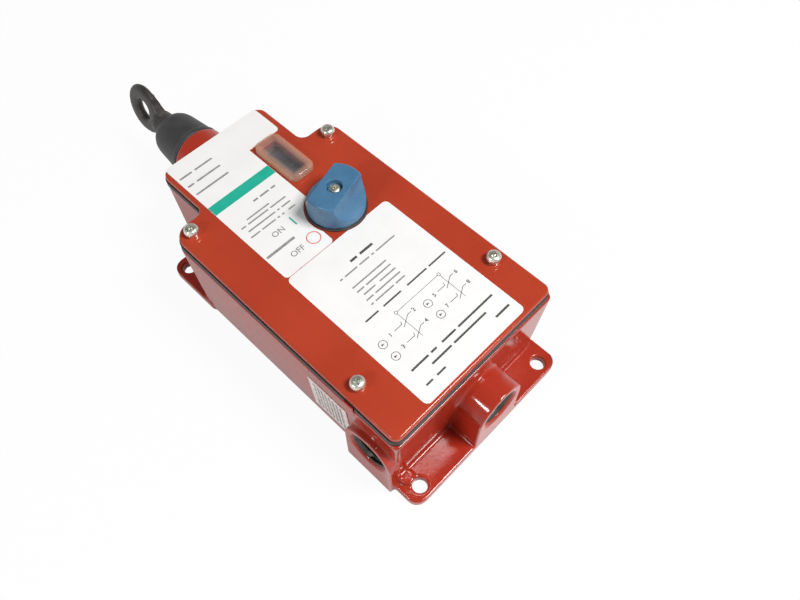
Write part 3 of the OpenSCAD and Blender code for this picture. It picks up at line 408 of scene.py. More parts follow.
zinc = finish("zinc_plate", (0.78, 0.77, 0.70), (0.60, 0.60, 0.56), 3 * mm, (0.18, 0.36), 0.2 * mm,
              0.003 * mm, metal=1.0)
dress(zinc, "mechanism_frame", "frame_screws", "switch_screws", "slide_screws", "latch_slide",
      "spring_collar", "spring_washer", "window_retainer", "eye_lock_nut")
block_black = finish("block_black", (0.030, 0.030, 0.032), (0.018, 0.018, 0.019), 10 * mm, (0.38, 0.55),
                     0.3 * mm, 0.006 * mm)
dress(block_black, "left_switch_block", "right_switch_block")
terminal_brass = finish("terminal_brass", (0.70, 0.52, 0.22), (0.58, 0.42, 0.18), 3 * mm, (0.22, 0.4),
                        0.2 * mm, 0.003 * mm, metal=1.0)
dress(terminal_brass, "terminal_clamps", "terminal_screws")
bush_bronze = finish("bush_bronze", (0.60, 0.40, 0.20), (0.46, 0.30, 0.15), 2 * mm, (0.32, 0.5), 0.15 * mm,
                     0.008 * mm, metal=1.0)
dress(bush_bronze, "front_bush", "rear_bush", "knob_bushing", "bushing_nut")
bright_steel = finish("bright_steel", (0.66, 0.67, 0.68), (0.58, 0.59, 0.60), 4 * mm, (0.12, 0.25),
                      0.2 * mm, 0.002 * mm, metal=1.0)
dress(bright_steel, "pull_rod", "cam_pin", "knob_shaft")
spring_steel = finish("spring_steel", (0.36, 0.37, 0.39), (0.26, 0.27, 0.29), 3 * mm, (0.25, 0.4),
                      0.2 * mm, 0.003 * mm, metal=1.0)
dress(spring_steel, "detent_spring", "retaining_clips", "knob_clip")
cam_acetal = finish("cam_acetal", (0.78, 0.76, 0.68), (0.72, 0.70, 0.62), 6 * mm, (0.4, 0.55), 0.3 * mm,
                    0.004 * mm)
dress(cam_acetal, "cam_sleeve")
plunger_red = finish("plunger_red", (0.55, 0.05, 0.03), (0.48, 0.04, 0.02), 3 * mm, (0.35, 0.5), 0.2 * mm,
                     0.003 * mm)
dress(plunger_red, "left_plunger", "right_plunger")
ground_green = finish("ground_green", (0.04, 0.28, 0.12), (0.03, 0.20, 0.09), 3 * mm, (0.25, 0.4), 0.2 * mm,
                      0.003 * mm, metal=0.6)
dress(ground_green, "ground_screw")

# --- Main spring -------------------------------------------------------------------------
# Compression spring of round wire between the front wall and the collar on the rod, drawn at
# its length at rest.
spring_low, spring_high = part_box("main_spring")
spring_wire_r = 1.25 * mm
spring_turns = 6.0
spring_mean_r = (spring_high.z - spring_low.z) / 2 - spring_wire_r
spring_mid_z = (spring_high.z + spring_low.z) / 2
spring_rise = (spring_high.y - spring_low.y - 2 * spring_wire_r) / spring_turns
along_rod = Matrix.Rotation(math.radians(-90), 4, "X")
coil = grown(winding, "main_spring_coil", spring_steel, Mean_Radius=spring_mean_r, Rise=spring_rise,
             Turns=spring_turns, Wire_Radius=spring_wire_r, Steps=28, Sides=12)
coil.data.transform(Matrix.Translation((0, spring_low.y + spring_wire_r, spring_mid_z)) @ along_rod)
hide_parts("main_spring")
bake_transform(coil)

# --- Rubber boot -------------------------------------------------------------------------
# Boot of black rubber, moulded as a plain taper. A bead holds it in the groove of the spigot
# and its lip wipes the neck of the eye.
rod_z = 31.0 * mm
boot_low, boot_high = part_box("rubber_boot")
boot_base, boot_tip = boot_low.y, boot_high.y
boot_steps = 72
boot_outside = ((0.00, 14.3), (0.35, 14.75), (1.2, 14.8), (2.4, 14.7), (3.0, 14.2), (3.6, 14.1),
                (6.0, 13.9), (10.0, 13.45), (14.0, 13.05), (18.0, 12.6), (20.5, 12.0), (22.4, 11.0),
                (23.6, 9.9), (24.3, 8.9), (24.7, 8.25), (25.2, 7.9), (25.7, 7.7), (26.0, 7.3))
boot_inside = ((26.0, 6.75), (25.4, 6.66), (24.2, 6.70), (23.2, 8.2), (21.5, 9.8), (18.0, 10.8),
               (9.0, 11.5), (8.0, 12.02), (0.0, 12.02))
boot_rubber = finish("boot_rubber", (0.052, 0.050, 0.052), (0.034, 0.033, 0.035), 9 * mm, (0.42, 0.6),
                     0.35 * mm, 0.010 * mm)


def close_up(mesh, sharp):
    """Merges doubles, turns faces outward and shades smooth up to an angle in degrees."""
    work = bmesh.new()
    work.from_mesh(mesh)
    bmesh.ops.remove_doubles(work, verts=work.verts, dist=2e-7)
    bmesh.ops.recalc_face_normals(work, faces=work.faces)
    work.to_mesh(mesh)
    work.free()
    mesh.polygons.foreach_set("use_smooth", [True] * len(mesh.polygons))
    mesh.set_sharp_from_angle(angle=math.radians(sharp))


def drawn(name, work):
    """The mesh of what has been drawn."""
    mesh = bpy.data.meshes.new(name)
    work.to_mesh(mesh)
    work.free()
    return mesh


def skinned(name, work, material, sharp):
    """The object of a drawn skin, closed up and in its finish."""
    mesh = drawn(name, work)
    mesh.materials.append(material)
    close_up(mesh, sharp)
    return link(name, mesh)


boot_skin = bmesh.new()
close_ring(boot_skin, [circle(boot_skin, r * mm, z * mm, boot_steps)
                       for z, r in boot_outside + boot_inside])
boot = skinned("boot", boot_skin, boot_rubber, 50.0)
boot.data.transform(Matrix.Translation((0, boot_base, rod_z)) @ along_rod)
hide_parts("rubber_boot")
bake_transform(boot)

# --- Pull eye ----------------------------------------------------------------------------
# Drop-forged steel eye with a black oxide skin, screwed on the rod. Its ring is round in
# section, and a web on each side of the hole runs into the neck.
black_oxide = finish("black_oxide", (0.084, 0.076, 0.070), (0.044, 0.040, 0.038), 5 * mm, (0.36, 0.55),
                     0.5 * mm, 0.014 * mm, metal=0.35, edge_rub=(0.10, 0.095, 0.09))
eye_grid = 0.35 * mm
eye_passes = 14
eye_triangles = 60000
eye_turn = math.radians(9)
eye_twist = math.radians(4)
eye_thinning = 0.82
ring_start = 146.0 * mm
ring_blend = 8.0 * mm
eye = as_cast("cable_eye", "pull_eye", black_oxide, eye_grid, eye_passes, eye_triangles)
ring_axis = Vector((math.cos(eye_turn), 0, -math.sin(eye_turn)))
for point in eye.data.vertices:
    share_of_ring = min(1.0, max(0.0, (point.co.y - ring_start) / ring_blend))
    share_of_ring *= share_of_ring * (3 - 2 * share_of_ring)
    middle = Vector((0, point.co.y, rod_z))
    arm = point.co - middle
    arm -= ring_axis * arm.dot(ring_axis) * (1 - eye_thinning) * share_of_ring
    arm.rotate(Matrix.Rotation(eye_twist * share_of_ring, 3, "Y"))
    point.co = middle + arm
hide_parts("cable_eye")
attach(eye, "rod")

# --- Cover gasket ------------------------------------------------------------------------
# Black sponge rubber ring pressed between the rim of the box and the cover, a little wider
# than the cover. The wiper round the pull rod is of the same rubber.
gasket_edge_r = 0.9 * mm
flat_angle = 0.6
seal_rubber = finish("seal_rubber", (0.050, 0.047, 0.044), (0.030, 0.029, 0.028), 8 * mm, (0.45, 0.65),
                     0.3 * mm, 0.008 * mm)


def eased(node, name, material, width, steps=3, sharp=40.0):
    """A copy of a solid whose outer edges are rounded by a width, with its flat faces whole."""
    edgy = copied(node, name + "_edgy", flat_angle)
    bevel = edgy.modifiers.new("ease", "BEVEL")
    bevel.width = width
    bevel.segments = steps
    bevel.angle_limit = math.radians(sharp)
    bevel.use_clamp_overlap = True
    eased_copy = settle(edgy, name, material)
    close_up(eased_copy.data, sharp)
    return eased_copy


gasket = eased("cover_gasket", "gasket", seal_rubber, gasket_edge_r)
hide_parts("cover_gasket")
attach(gasket, "box")
dress(seal_rubber, "shaft_wiper")

# --- Cover -------------------------------------------------------------------------------
# Die-cast plate on the box and its neck, in the same red enamel but glossier and thicker,
# with rounded edges. It has four screw holes, the knob's hole and the window's slot.
cover_low, cover_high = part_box("cover")
cover_half_w = cover_high.x
cover_far, cover_front = cover_low.y, cover_high.y
neck_half_w = 30.2 * mm
neck_l = 32.0 * mm
cover_shoulder = cover_front - neck_l
far_corner_r = 3.8 * mm
shoulder_r = 8.0 * mm
neck_corner_r = 5.0 * mm
neck_fillet_r = 4.5 * mm
cover_edge_r = 1.1 * mm
cover_under_r = 0.3 * mm
edge_steps = 6
screw_out = 41.3 * mm
screw_rows = (-46.09 * mm, 59.19 * mm)
screw_places = [(x, y) for x in (-screw_out, screw_out) for y in screw_rows]
screw_hole_r = 2.0 * mm
knob_hole_r = 7.6 * mm
slot_half = (4.85 * mm, 12.6 * mm)
slot_corner_r = 1.5 * mm
cover_enamel = finish("cover_enamel", (0.475, 0.052, 0.020), (0.43, 0.044, 0.017), 42 * mm, (0.09, 0.15),
                      3.0 * mm, 0.006 * mm)


def middle_of(node):
    """The middle of a solid as seen from above."""
    low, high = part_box(node)
    return ((low.x + high.x) / 2, (low.y + high.y) / 2)


knob_place = Vector((*middle_of("knob_washer"), 0))
lens_mid = middle_of("window_lens")


def rounded(corners, inset=0.0, steps=10):
    """The points of a closed outline, counterclockwise, with each (x, y, radius) corner rounded
    and the whole outline moved inward by inset."""
    count = len(corners)
    flat = [Vector(corner[:2]) for corner in corners]
    points = []
    for i, here in enumerate(flat):
        before, after = flat[i - 1], flat[(i + 1) % count]
        into, out = (here - before).normalized(), (after - here).normalized()
        turn = into.x * out.y - into.y * out.x
        side = Vector((-into.y, into.x)) + Vector((-out.y, out.x))
        corner = here + side * (inset / (1 + into.dot(out)))
        radius = max(corners[i][2] - math.copysign(inset, turn), 0.1 * mm)
        half = math.atan2(abs(turn), into.dot(out)) / 2
        reach = radius * math.tan(half)
        start = corner - into * reach
        centre = start + Vector((-into.y, into.x)) * math.copysign(radius, turn)
        arm = start - centre
        for k in range(steps + 1):
            angle = math.copysign(2 * half * k / steps, turn)
            points.append(centre + Vector((arm.x * math.cos(angle) - arm.y * math.sin(angle),
                                           arm.x * math.sin(angle) + arm.y * math.cos(angle))))
    return points


def box_corners(middle, half, radius):
    """The corners of a rectangle, each with its radius."""
    return [(middle[0] + x * half[0], middle[1] + y * half[1], radius)
            for x, y in ((-1, -1), (1, -1), (1, 1), (-1, 1))]


def ring_of(middle, radius, steps=40):
    """The points of a round hole."""
    return [Vector((middle[0] + radius * math.cos(a), middle[1] + radius * math.sin(a)))
            for a in (2 * math.pi * i / steps for i in range(steps))]


def level(work, outline, z):
    """An outline's points at a height."""
    return [work.verts.new((p.x, p.y, z)) for p in outline]


def plate(name, material, levels, holes, sharp=30.0):
    """A plate through (outline, z) levels from its underside to its top, with plain holes."""
    work = bmesh.new()
    rings = [level(work, outline, z) for outline, z in levels]
    for near, far in zip(rings, rings[1:]):
        bridge(work, near, far)
    bottom, top = levels[0][1], levels[-1][1]
    walls = [(level(work, hole, bottom), level(work, hole, top)) for hole in holes]
    for low, high in walls:
        bridge(work, high, low)
    for flat in ([rings[0]] + [low for low, high in walls], [rings[-1]] + [high for low, high in walls]):
        edges = []
        for ring in flat:
            for i in range(len(ring)):
                pair = (ring[i], ring[(i + 1) % len(ring)])
                edges.append(work.edges.get(pair) or work.edges.new(pair))
        bmesh.ops.triangle_fill(work, use_beauty=True, edges=edges)
    return skinned(name, work, material, sharp)


cover_corners = [(-cover_half_w, cover_far, far_corner_r), (cover_half_w, cover_far, far_corner_r),
                 (cover_half_w, cover_shoulder, shoulder_r), (neck_half_w, cover_shoulder, neck_fillet_r),
                 (neck_half_w, cover_front, neck_corner_r), (-neck_half_w, cover_front, neck_corner_r),
                 (-neck_half_w, cover_shoulder, neck_fillet_r), (-cover_half_w, cover_shoulder, shoulder_r)]
edge_turns = [math.radians(90 * k / edge_steps) for k in range(edge_steps + 1)]
cover_levels = [(rounded(cover_corners, cover_under_r), cover_low.z),
                (rounded(cover_corners), cover_low.z + cover_under_r)]
cover_levels += [(rounded(cover_corners, cover_edge_r * (1 - math.cos(a))),
                  cover_high.z - cover_edge_r * (1 - math.sin(a))) for a in edge_turns]
cover_holes = [ring_of(place, screw_hole_r, 20) for place in screw_places]
cover_holes += [ring_of(knob_place, knob_hole_r),
                rounded(box_corners(lens_mid, slot_half, slot_corner_r), 0, 6)]
cover_plate = plate("cover_plate", cover_enamel, cover_levels, cover_holes)
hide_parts("cover")
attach(cover_plate, "box")

# --- Cover screws and knob screw ---------------------------------------------------------
# Zinc-plated steel pan heads with a cross recess. The four in the cover are captive and each
# stands on a turned collar. Each head was left at its own angle.
cover_head_d = 6.8 * mm
cover_head_h = 2.6 * mm
cover_shank_d = 3.5 * mm
captive_collar_r = 2.8 * mm
collar_gap = 0.02 * mm
knob_head_d = 6.0 * mm
knob_head_h = 2.0 * mm
knob_shank_d = 3.0 * mm
knob_screw_turn = math.radians(28)
most_turn = 1.57
head_chamfer = 0.2 * mm
screw_point_l = 1.0 * mm
head_steps = 36
head_sharp = 32.0
screw_zinc = finish("screw_zinc", (0.88, 0.87, 0.78), (0.74, 0.74, 0.68), 2.5 * mm, (0.30, 0.42), 0.25 * mm,
                    0.003 * mm, metal=1.0)


def outward_mesh(name, work):
    """The mesh of a drawn closed skin, with its faces outward."""
    bmesh.ops.recalc_face_normals(work, faces=work.faces)
    return drawn(name, work)


def spun(name, profile, steps):
    """A mesh turned about the Z axis through (z, radius) pairs, from a point to a point."""
    work = bmesh.new()
    rings = [circle(work, radius, z, steps) for z, radius in profile[1:-1]]
    for near, far in zip(rings, rings[1:]):
        bridge(work, near, far)
    for z, ring in ((profile[0][0], rings[0]), (profile[-1][0], rings[-1])):
        tip = work.verts.new((0, 0, z))
        for i in range(steps):
            work.faces.new((tip, ring[i], ring[(i + 1) % steps]))
    return outward_mesh(name, work)


def cross_recess(name, head_r, head_h, seat):
    """The tapered cross that a driver fits, as a mesh to cut from a head."""
    arm_l, arm_w = head_r * 0.60, head_r * 0.145
    star = [(x * c - y * s, x * s + y * c) for c, s in ((1, 0), (0, 1), (-1, 0), (0, -1))
            for x, y in ((arm_l, -arm_w), (arm_l, arm_w), (arm_w, arm_w))]
    work = bmesh.new()
    mouth = [work.verts.new((x * 1.02, y * 1.02, seat + head_h * 1.1)) for x, y in star]
    floor = [work.verts.new((x * 0.55, y * 0.55, seat + head_h * 0.40)) for x, y in star]
    bridge(work, floor, mouth)
    work.faces.new(mouth)
    work.faces.new(floor[::-1])
    return outward_mesh(name, work)


def cross_screw(name, head_d, head_h, seat, shank_d, low, collar=None):
    """A pan-head screw on the Z axis, its head on seat and its point at low. It may have a
    collar of a radius and a height below its head."""
    head_r, shank_r = head_d / 2, shank_d / 2
    profile = [(low, 0.0), (low, shank_r * 0.6), (low + screw_point_l, shank_r)]
    if collar:
        collar_r, foot = collar[0], seat - collar[1]
        profile += [(foot, shank_r), (foot, collar_r - head_chamfer), (foot + head_chamfer, collar_r),
                    (seat - 0.15 * mm, collar_r), (seat, collar_r - 0.1 * mm)]
    else:
        profile += [(seat - 0.01 * mm, shank_r)]
    profile += [(seat, head_r - head_chamfer), (seat + head_chamfer, head_r)]
    brim, dome_h = seat + 0.3 * mm, head_h * 0.92 - 0.3 * mm
    for angle in (math.radians(12 + 70 * k / 6) for k in range(7)):
        profile.append((brim + dome_h * math.sin(angle), head_r * (1 - 0.46 * (1 - math.cos(angle)))))
    profile += [(seat + head_h * 0.985, head_r * 0.34), (seat + head_h, 0.0)]
    blank = link(name + "_blank", spun(name, profile, head_steps))
    cutter = link(name + "_recess", cross_recess(name + "_recess", head_r, head_h, seat))
    cut = blank.modifiers.new("recess", "BOOLEAN")
    cut.operation = "DIFFERENCE"
    cut.solver = "EXACT"
    cut.object = cutter
    done = settle(blank, name, screw_zinc)
    bpy.data.objects.remove(cutter)
    close_up(done.data, head_sharp)
    return done


def screw_setting_tree():
    """Copies of one screw on a rectangle of places, each turned by a chance angle."""
    tree, given = new_tree("screw_setting", Across="Float", Along="Float", Middle="Vector", Seed="Int")
    grid = put(tree, "GeometryNodeMeshGrid", Size_X=given["Across"], Size_Y=given["Along"], Vertices_X=2,
               Vertices_Y=2)
    moved = put(tree, "GeometryNodeTransform", Geometry=grid.outputs["Mesh"], Translation=given["Middle"])
    chance = put(tree, "FunctionNodeRandomValue", {"data_type": "FLOAT"}, i2=0.0, i3=most_turn,
                 Seed=given["Seed"])
    angle = put(tree, "ShaderNodeCombineXYZ", Z=chance.outputs[1])
    copies = put(tree, "GeometryNodeInstanceOnPoints", Points=moved.outputs[0], Instance=given["Geometry"],
                 Rotation=angle.outputs[0])
    return end_tree(tree, given, copies)


screws_low, screws_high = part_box("cover_screws")
cover_seat = screws_high.z - cover_head_h
one_screw = cross_screw("one_cover_screw", cover_head_d, cover_head_h, cover_seat, cover_shank_d,
                        screws_low.z, (captive_collar_r, cover_seat - cover_high.z - collar_gap))
screw_mesh = one_screw.data
bpy.data.objects.remove(one_screw)
four_screws = grown(screw_setting_tree(), "cover_screw_set", screw_zinc, base=screw_mesh,
                    Across=2 * screw_out, Along=screw_rows[1] - screw_rows[0],
                    Middle=(0.0, sum(screw_rows) / 2, 0.0), Seed=4)
close_up(four_screws.data, head_sharp)
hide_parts("cover_screws")
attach(four_screws, "box")

knob_screw_low, knob_screw_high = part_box("knob_screw")
knob_fixing = cross_screw("knob_fixing", knob_head_d, knob_head_h, knob_screw_high.z - knob_head_h,
                          knob_shank_d, knob_screw_low.z)
knob_fixing.data.transform(Matrix.Translation(knob_place) @ Matrix.Rotation(knob_screw_turn, 4, "Z"))
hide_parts("knob_screw")
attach(knob_fixing, "knob")

# --- Window and indicator ----------------------------------------------------------------
# Clear polycarbonate lens with a rim that rests on the cover and a plug through its slot.
# The ribbed black flag of the rod passes below it.
lens_low, lens_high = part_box("window_lens")
lens_half = ((lens_high.x - lens_low.x) / 2, (lens_high.y - lens_low.y) / 2)
lens_corner_r = 4.0 * mm
lens_edge_r = 1.5 * mm
lens_draft = 0.08 * mm
lens_crown = 0.12 * mm
lens_foot_r = 0.15 * mm
lens_corners = box_corners(lens_mid, lens_half, lens_corner_r)
plug_inset = 2.55 * mm
plug_lead = 0.6 * mm
brim_inset = 0.1 * mm
dome_inset = 4.2 * mm
flat_inset = 6.3 * mm
flat_rise = 0.02 * mm
lens_gap = 0.04 * mm
lens_seat = cover_high.z + lens_gap
# Width of the painted sheen along the rim of the lens.
sheen_rim_fade = (-1.2 * mm, 0.6 * mm)


def clear_plastic():
    """Clear plastic with a little haze, painted warm pink and more opaque towards its rim on the cover, as
    a painted sheen of the red cover and the light seen through it.
    """
    made, tree = bare(bpy.data.materials.new("clear_polycarbonate"))
    place = put(tree, "ShaderNodeTexCoord").outputs["Object"]
    haze = put(tree, "ShaderNodeTexNoise", Vector=place, Scale=140.0, Detail=3.0).outputs[0]
    axes = put(tree, "ShaderNodeSeparateXYZ", Vector=place).outputs
    sheen_rims = []
    for axis in (0, 1):
        across = math_of(tree, "ABSOLUTE", math_of(tree, "SUBTRACT", axes[axis], lens_mid[axis]))
        edge = lens_half[axis] - plug_inset
        sheen_rims.append(mapped(tree, across, edge + sheen_rim_fade[0], edge + sheen_rim_fade[1], 0.0, 1.0))
    rim = math_of(tree, "MAXIMUM", *sheen_rims)
    # Painted sheen: towards the rim the plastic is tinted warm pink and made more opaque, for the red cover
    # and the light seen through it.
    haze_and_sheen = math_of(tree, "MULTIPLY_ADD", rim, 0.32, mapped(tree, haze, 0.35, 0.65, 0.10, 0.15))
    tint = put(tree, "ShaderNodeMix", {"data_type": "RGBA"}, i0=rim, i6=(0.42, 0.41, 0.44, 1),
               i7=(0.68, 0.38, 0.26, 1)).outputs[2]
    relief = put(tree, "ShaderNodeBump", Height=haze, Distance=0.008 * mm, Strength=1.0).outputs[0]
    shader = put(tree, "ShaderNodeBsdfPrincipled", Base_Color=tint, Alpha=haze_and_sheen, Normal=relief, IOR=1.58,
                 Roughness=mapped(tree, haze, 0.35, 0.65, 0.14, 0.22))
    put(tree, "ShaderNodeOutputMaterial", Surface=shader.outputs[0])
    return made


clear = clear_plastic()
lens_steps = [(plug_inset + plug_lead, lens_low.z), (plug_inset, lens_low.z + plug_lead / 2),
              (plug_inset, lens_seat), (brim_inset, lens_seat), (0.0, lens_seat + lens_foot_r),
              (lens_draft, lens_high.z - lens_edge_r)]
lens_steps += [(lens_draft + lens_edge_r * (1 - math.cos(a)),
                lens_high.z - lens_crown - (lens_edge_r - lens_crown) * (1 - math.sin(a)))
               for a in edge_turns[1:]]
lens_steps += [(dome_inset, lens_high.z - flat_rise), (flat_inset, lens_high.z)]
lens_levels = [(rounded(lens_corners, inset, 5), z) for inset, z in lens_steps]
lens = plate("lens", clear, lens_levels, [], 40.0)
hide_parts("window_lens")
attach(lens, "box")
flag_black = finish("flag_black", (0.060, 0.055, 0.058), (0.034, 0.032, 0.034), 4 * mm, (0.34, 0.5),
                    0.3 * mm, 0.01 * mm)
dress(flag_black, "indicator_flag")

# --- Reset knob --------------------------------------------------------------------------
# Injection-moulded blue nylon with two scoops that leave a finger grip, on a black seal
# ring. The screw in the middle of the grip holds it to the shaft.
knob_grid = 0.28 * mm
knob_passes = 5
knob_triangles = 60000
seal_edge_r = 0.35 * mm
blue_nylon = finish("blue_nylon", (0.070, 0.195, 0.340), (0.058, 0.170, 0.305), 9 * mm, (0.26, 0.38),
                    0.5 * mm, 0.008 * mm, edge_rub=(0.12, 0.26, 0.42))
knob = as_cast("reset_knob", "grip_knob", blue_nylon, knob_grid, knob_passes, knob_triangles)
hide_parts("reset_knob")
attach(knob, "knob")
seal_ring = eased("knob_washer", "knob_seal", seal_rubber, seal_edge_r)
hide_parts("knob_washer")
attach(seal_ring, "box")

# --- Labels ------------------------------------------------------------------------------
# White polyester film on the cover and silver film on the side wall. The print is plain:
# a green band, a red ring, ON and OFF, a contact diagram with numbers, and rows of marks.
film_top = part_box("operating_label")[1].z
print_t = 0.02 * mm
capital_share = 0.70
white_film = finish("white_film", (0.93, 0.92, 0.905), (0.90, 0.89, 0.875), 14 * mm, (0.28, 0.40),
                    0.8 * mm, 0.004 * mm)
dress(white_film, "operating_label", "wiring_label")
silver_film = finish("silver_film", (0.92, 0.85, 0.80), (0.86, 0.79, 0.74), 7 * mm, (0.20, 0.30), 0.4 * mm,
                     0.004 * mm, metal=0.05)
dress(silver_film, "side_label")


def ink(name, colour, shade, patch=3 * mm):
    """Matt printing ink."""
    return finish(name, colour, shade, patch, (0.35, 0.5), 0.2 * mm, 0.002 * mm)


ink_black = ink("ink_black", (0.075, 0.07, 0.068), (0.11, 0.105, 0.10))
ink_grey = ink("ink_grey", (0.28, 0.27, 0.265), (0.36, 0.35, 0.34))
ink_green = ink("ink_green", (0.012, 0.42, 0.30), (0.02, 0.46, 0.33), 5 * mm)
ink_red = ink("ink_red", (0.68, 0.13, 0.10), (0.74, 0.20, 0.16))


def slab(work, outline):
    """A thin print of a convex outline in millimetres."""
    low = [work.verts.new((x * mm, y * mm, 0.0)) for x, y in outline]
    high = [work.verts.new((x * mm, y * mm, print_t)) for x, y in outline]
    bridge(work, low, high)
    work.faces.new(high)
    work.faces.new(low[::-1])


def stroke(work, points, width):
    """A thin line of print along points in millimetres."""
    for (x0, y0), (x1, y1) in zip(points, points[1:]):
        length = math.hypot(x1 - x0, y1 - y0)
        nx, ny = (y0 - y1) / length * width / 2, (x1 - x0) / length * width / 2
        slab(work, [(x0 + nx, y0 + ny), (x0 - nx, y0 - ny), (x1 - nx, y1 - ny), (x1 + nx, y1 + ny)])


def hoop(work, middle, radius, width, steps=32):
    """A thin ring of print in millimetres, closed all round."""
    inner, outer = radius - width / 2, radius + width / 2
    centre = (middle[0] * mm, middle[1] * mm)
    close_ring(work, [circle(work, r * mm, z, steps, centre) for r, z in (
        (inner, 0.0), (outer, 0.0), (outer, print_t), (inner, print_t))])


def lay_on_cover(name, material, mesh):
    """Fixes a print to the labels of the cover."""
    mesh.materials.clear()
    mesh.materials.append(material)
    mesh.transform(Matrix.Translation((0, 0, film_top)))
    made = link(name, mesh)
    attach(made, "box")


def printed(name, material, draw):
    """A print that a function draws."""
    work = bmesh.new()
    draw(work)
    lay_on_cover(name, material, outward_mesh(name, work))


def lettering(name, material, words):
    """Words of print, each a (text, x, y, height) from its lower left corner, in millimetres."""
    work = bmesh.new()
    for text, x, y, tall in words:
        curve = bpy.data.curves.new("word", "FONT")
        curve.body = text
        curve.size = tall * mm / capital_share
        curve.extrude = print_t / 2
        curve.offset = 0.05 * mm
        curve.resolution_u = 3
        word = link("word", curve)
        bpy.context.view_layer.update()
        flat = bpy.data.meshes.new_from_object(word.evaluated_get(bpy.context.evaluated_depsgraph_get()))
        flat.transform(Matrix.Translation((x * mm, y * mm, print_t / 2)))
        work.from_mesh(flat)
        bpy.data.objects.remove(word)
    lay_on_cover(name, material, drawn(name, work))


def green_print(work):
    """The band across the operating label and the stroke beside ON."""
    slab(work, [(-27.9, 59.3), (7.75, 59.3), (7.75, 65.2), (-27.9, 65.2)])
    stroke(work, [(-5.5, 35.0), (-5.55, 29.7)], 0.8)


def red_print(work):
    """The ring beside OFF."""
    hoop(work, (-5.2, 18.9), 3.2, 0.5, 40)


printed("green_band", ink_green, green_print)
printed("red_ring", ink_red, red_print)
lettering("on_off_words", ink_grey, [("ON", -17.6, 31.0, 3.0), ("OFF", -18.7, 17.2, 3.0)])
line = 0.28
thin_line = 0.22


def contact(work, x, y):
    """A contact that is closed: two leads and a blade across the gap between them."""
    stroke(work, [(x, y), (x + 4.6, y), (x + 5.0, y + 1.3)], line)
    stroke(work, [(x + 4.2, y - 1.6), (x + 9.6, y + 1.5), (x + 11.6, y + 1.5)], line)


def diagram(work):
    """Two switches of two contacts each, with the bar that joins them and four ringed arrows."""
    for x in (-14.0, 12.4):
        for y in (-39.6, -47.0):
            contact(work, x, y)
    stroke(work, [(-6.4, -34.0), (18.4, -34.0)], thin_line)
    for x in (-7.2, 19.2):
        stroke(work, [(x, -49.4), (x, -34.6)], thin_line)
        hoop(work, (x, -34.0), 0.75, 0.25, 16)
    for x in (-21.6, 5.4):
        for y in (-40.6, -48.0):
            hoop(work, (x, y), 1.9, line, 24)
            slab(work, [(x - 0.8, y - 0.55), (x + 0.8, y), (x - 0.8, y + 0.55)])


printed("contact_diagram", ink_black, diagram)
number_places = [place for x_pair in ((-17.0, -1.6), (9.6, 24.8))
                 for y_pair in ((-40.6, -39.0), (-48.0, -46.4)) for place in zip(x_pair, y_pair)]
lettering("contact_numbers", ink_black, [(str(k + 1), x, y, 1.9) for k, (x, y) in enumerate(number_places)])
gap_share = 0.13
row_share = 0.48
mark_overlap = 1.03


def mark_rows_tree():
    """Rows of small marks with gaps between words, on a plane, in place of print."""
    tree, given = new_tree("mark_rows", Marks="Int", Rows="Int", Mark_Pitch="Float", Row_Pitch="Float",
                           Mark_Height="Float", Mark_Width="Float", Depth="Float", Seed="Int")
    wide = math_of(tree, "MULTIPLY", given["Mark Pitch"], math_of(tree, "SUBTRACT", given["Marks"], 1.0))
    tall = math_of(tree, "MULTIPLY", given["Row Pitch"], math_of(tree, "SUBTRACT", given["Rows"], 1.0))
    grid = put(tree, "GeometryNodeMeshGrid", Size_X=wide, Size_Y=tall, Vertices_X=given["Marks"],
               Vertices_Y=given["Rows"])
    points = put(tree, "GeometryNodeMeshToPoints", Mesh=grid.outputs["Mesh"])
    place = put(tree, "GeometryNodeInputPosition").outputs[0]
    in_mm = put(tree, "ShaderNodeVectorMath", {"operation": "SCALE"}, i0=place, Scale=1 / mm)
    seeded = put(tree, "ShaderNodeCombineXYZ", X=given["Seed"], Y=given["Seed"])
    spot = put(tree, "ShaderNodeVectorMath", {"operation": "ADD"}, i0=in_mm.outputs[0],
               i1=seeded.outputs[0])
    noise = put(tree, "ShaderNodeTexWhiteNoise", {"noise_dimensions": "2D"}, Vector=spot.outputs[0])
    gaps = put(tree, "FunctionNodeCompare", {"data_type": "FLOAT", "operation": "LESS_THAN"},
               i0=noise.outputs[0], i1=gap_share)
    kept = put(tree, "GeometryNodeDeleteGeometry", {"domain": "POINT"}, Geometry=points.outputs[0],
               Selection=gaps.outputs[0])
    size = put(tree, "ShaderNodeCombineXYZ", X=given["Mark Width"], Y=given["Mark Height"],
               Z=given["Depth"])
    mark = put(tree, "GeometryNodeMeshCube", Size=size.outputs[0])
    return end_tree(tree, given, put(tree, "GeometryNodeInstanceOnPoints", Points=kept.outputs[0],
                                     Instance=mark.outputs["Mesh"]))


mark_rows = mark_rows_tree()


def marks(name, material, place, slot, wide, rows, row_pitch, tall, pitch, seed):
    """Rows of marks as wide as a block of print, with their sizes in millimetres."""
    made = grown(mark_rows, name, material, Marks=max(2, round(wide / pitch) + 1), Rows=rows,
                 Mark_Pitch=pitch * mm, Row_Pitch=row_pitch * mm, Mark_Height=tall * row_share * mm,
                 Mark_Width=pitch * mark_overlap * mm, Depth=print_t, Seed=seed)
    made.data.transform(place)
    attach(made, "box")


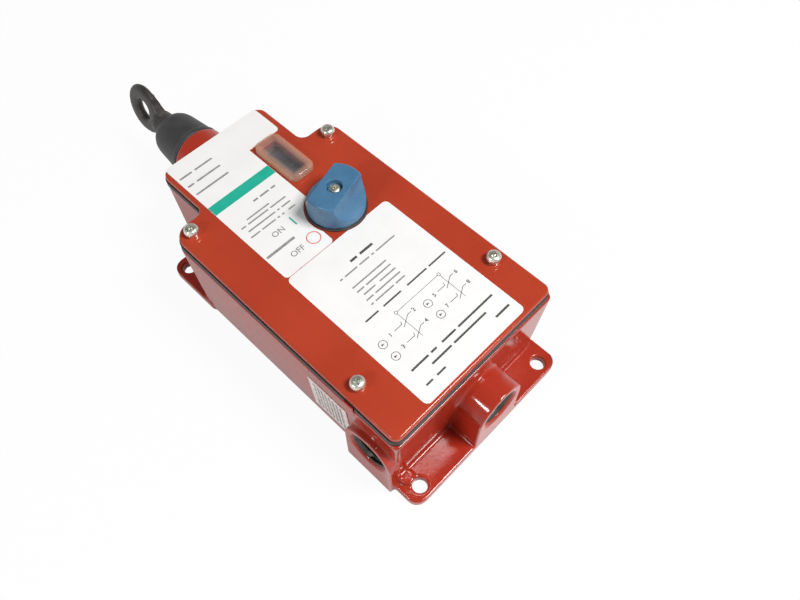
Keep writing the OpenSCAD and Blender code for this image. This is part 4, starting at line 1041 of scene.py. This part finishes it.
# Each block of print: its middle, width, rows, row pitch, letter height, letter pitch and seed.
for name, material, x, y, *sizes in (
        ("caution_marks", ink_grey, -11.7, 41.9, 25.0, 3, 3.35, 1.7, 1.3, 3),
        ("caution_head", ink_grey, -12.4, 47.6, 13.0, 1, 3, 1.7, 1.45, 5),
        ("slack_marks", ink_grey, -4.2, 53.6, 11.4, 1, 3, 2.2, 1.3, 6),
        ("reset_marks", ink_grey, -19.0, 25.2, 14.5, 1, 3, 2.8, 1.45, 9),
        ("title_marks", ink_grey, -17.2, 81.4, 17.0, 3, 6.2, 2.2, 1.7, 11),
        ("rating_head", ink_black, 3.0, -2.0, 12.6, 1, 3, 2.6, 1.9, 12),
        ("rating_list", ink_grey, 4.0, -6.0, 32.0, 1, 3, 1.6, 1.45, 13),
        ("rating_rows", ink_grey, -1.5, -18.2, 19.5, 5, 2.85, 1.55, 1.35, 14),
        ("left_switch_marks", ink_black, -8.6, -28.1, 19.4, 1, 3, 1.7, 1.5, 16),
        ("right_switch_marks", ink_black, 17.8, -28.1, 21.8, 1, 3, 1.7, 1.5, 17),
        ("note_marks", ink_black, 2.7, -57.1, 48.6, 1, 3, 2.0, 1.65, 18),
        ("note_marks_2", ink_black, 2.6, -60.9, 31.0, 1, 3, 2.0, 1.65, 19),
        ("corner_marks", ink_black, -18.0, -65.6, 12.2, 1, 3, 1.8, 1.25, 20),
        ("date_marks", ink_black, 24.6, -65.4, 7.0, 1, 3, 2.2, 2.1, 23)):
    on_film = Matrix.Translation((x * mm, y * mm, film_top + print_t / 2))
    marks(name, material, on_film, "white_label", *sizes)

# The side wall leans out as it rises, and its label and the rows on it lean with it.
wall_foot_x = -46.6 * mm
wall_spread = 2.2 * mm
wall_h = 50.7 * mm
wall_lean = math.atan2(wall_spread, wall_h)
side_film_t = 0.45 * mm
side_rows_z = 25.0 * mm
on_wall = (Matrix.Translation((wall_foot_x, middle_of("side_label")[1], 0))
           @ Matrix.Rotation(-wall_lean, 4, "Y"))
on_side_film = (Matrix.Translation((-side_film_t, 0, side_rows_z))
                @ Matrix.Rotation(math.radians(-90), 4, "Y"))
marks("side_marks", ink_grey, on_wall @ on_side_film, "silver_label", 24.0, 8, 2.3, 1.15, 1.2, 25)
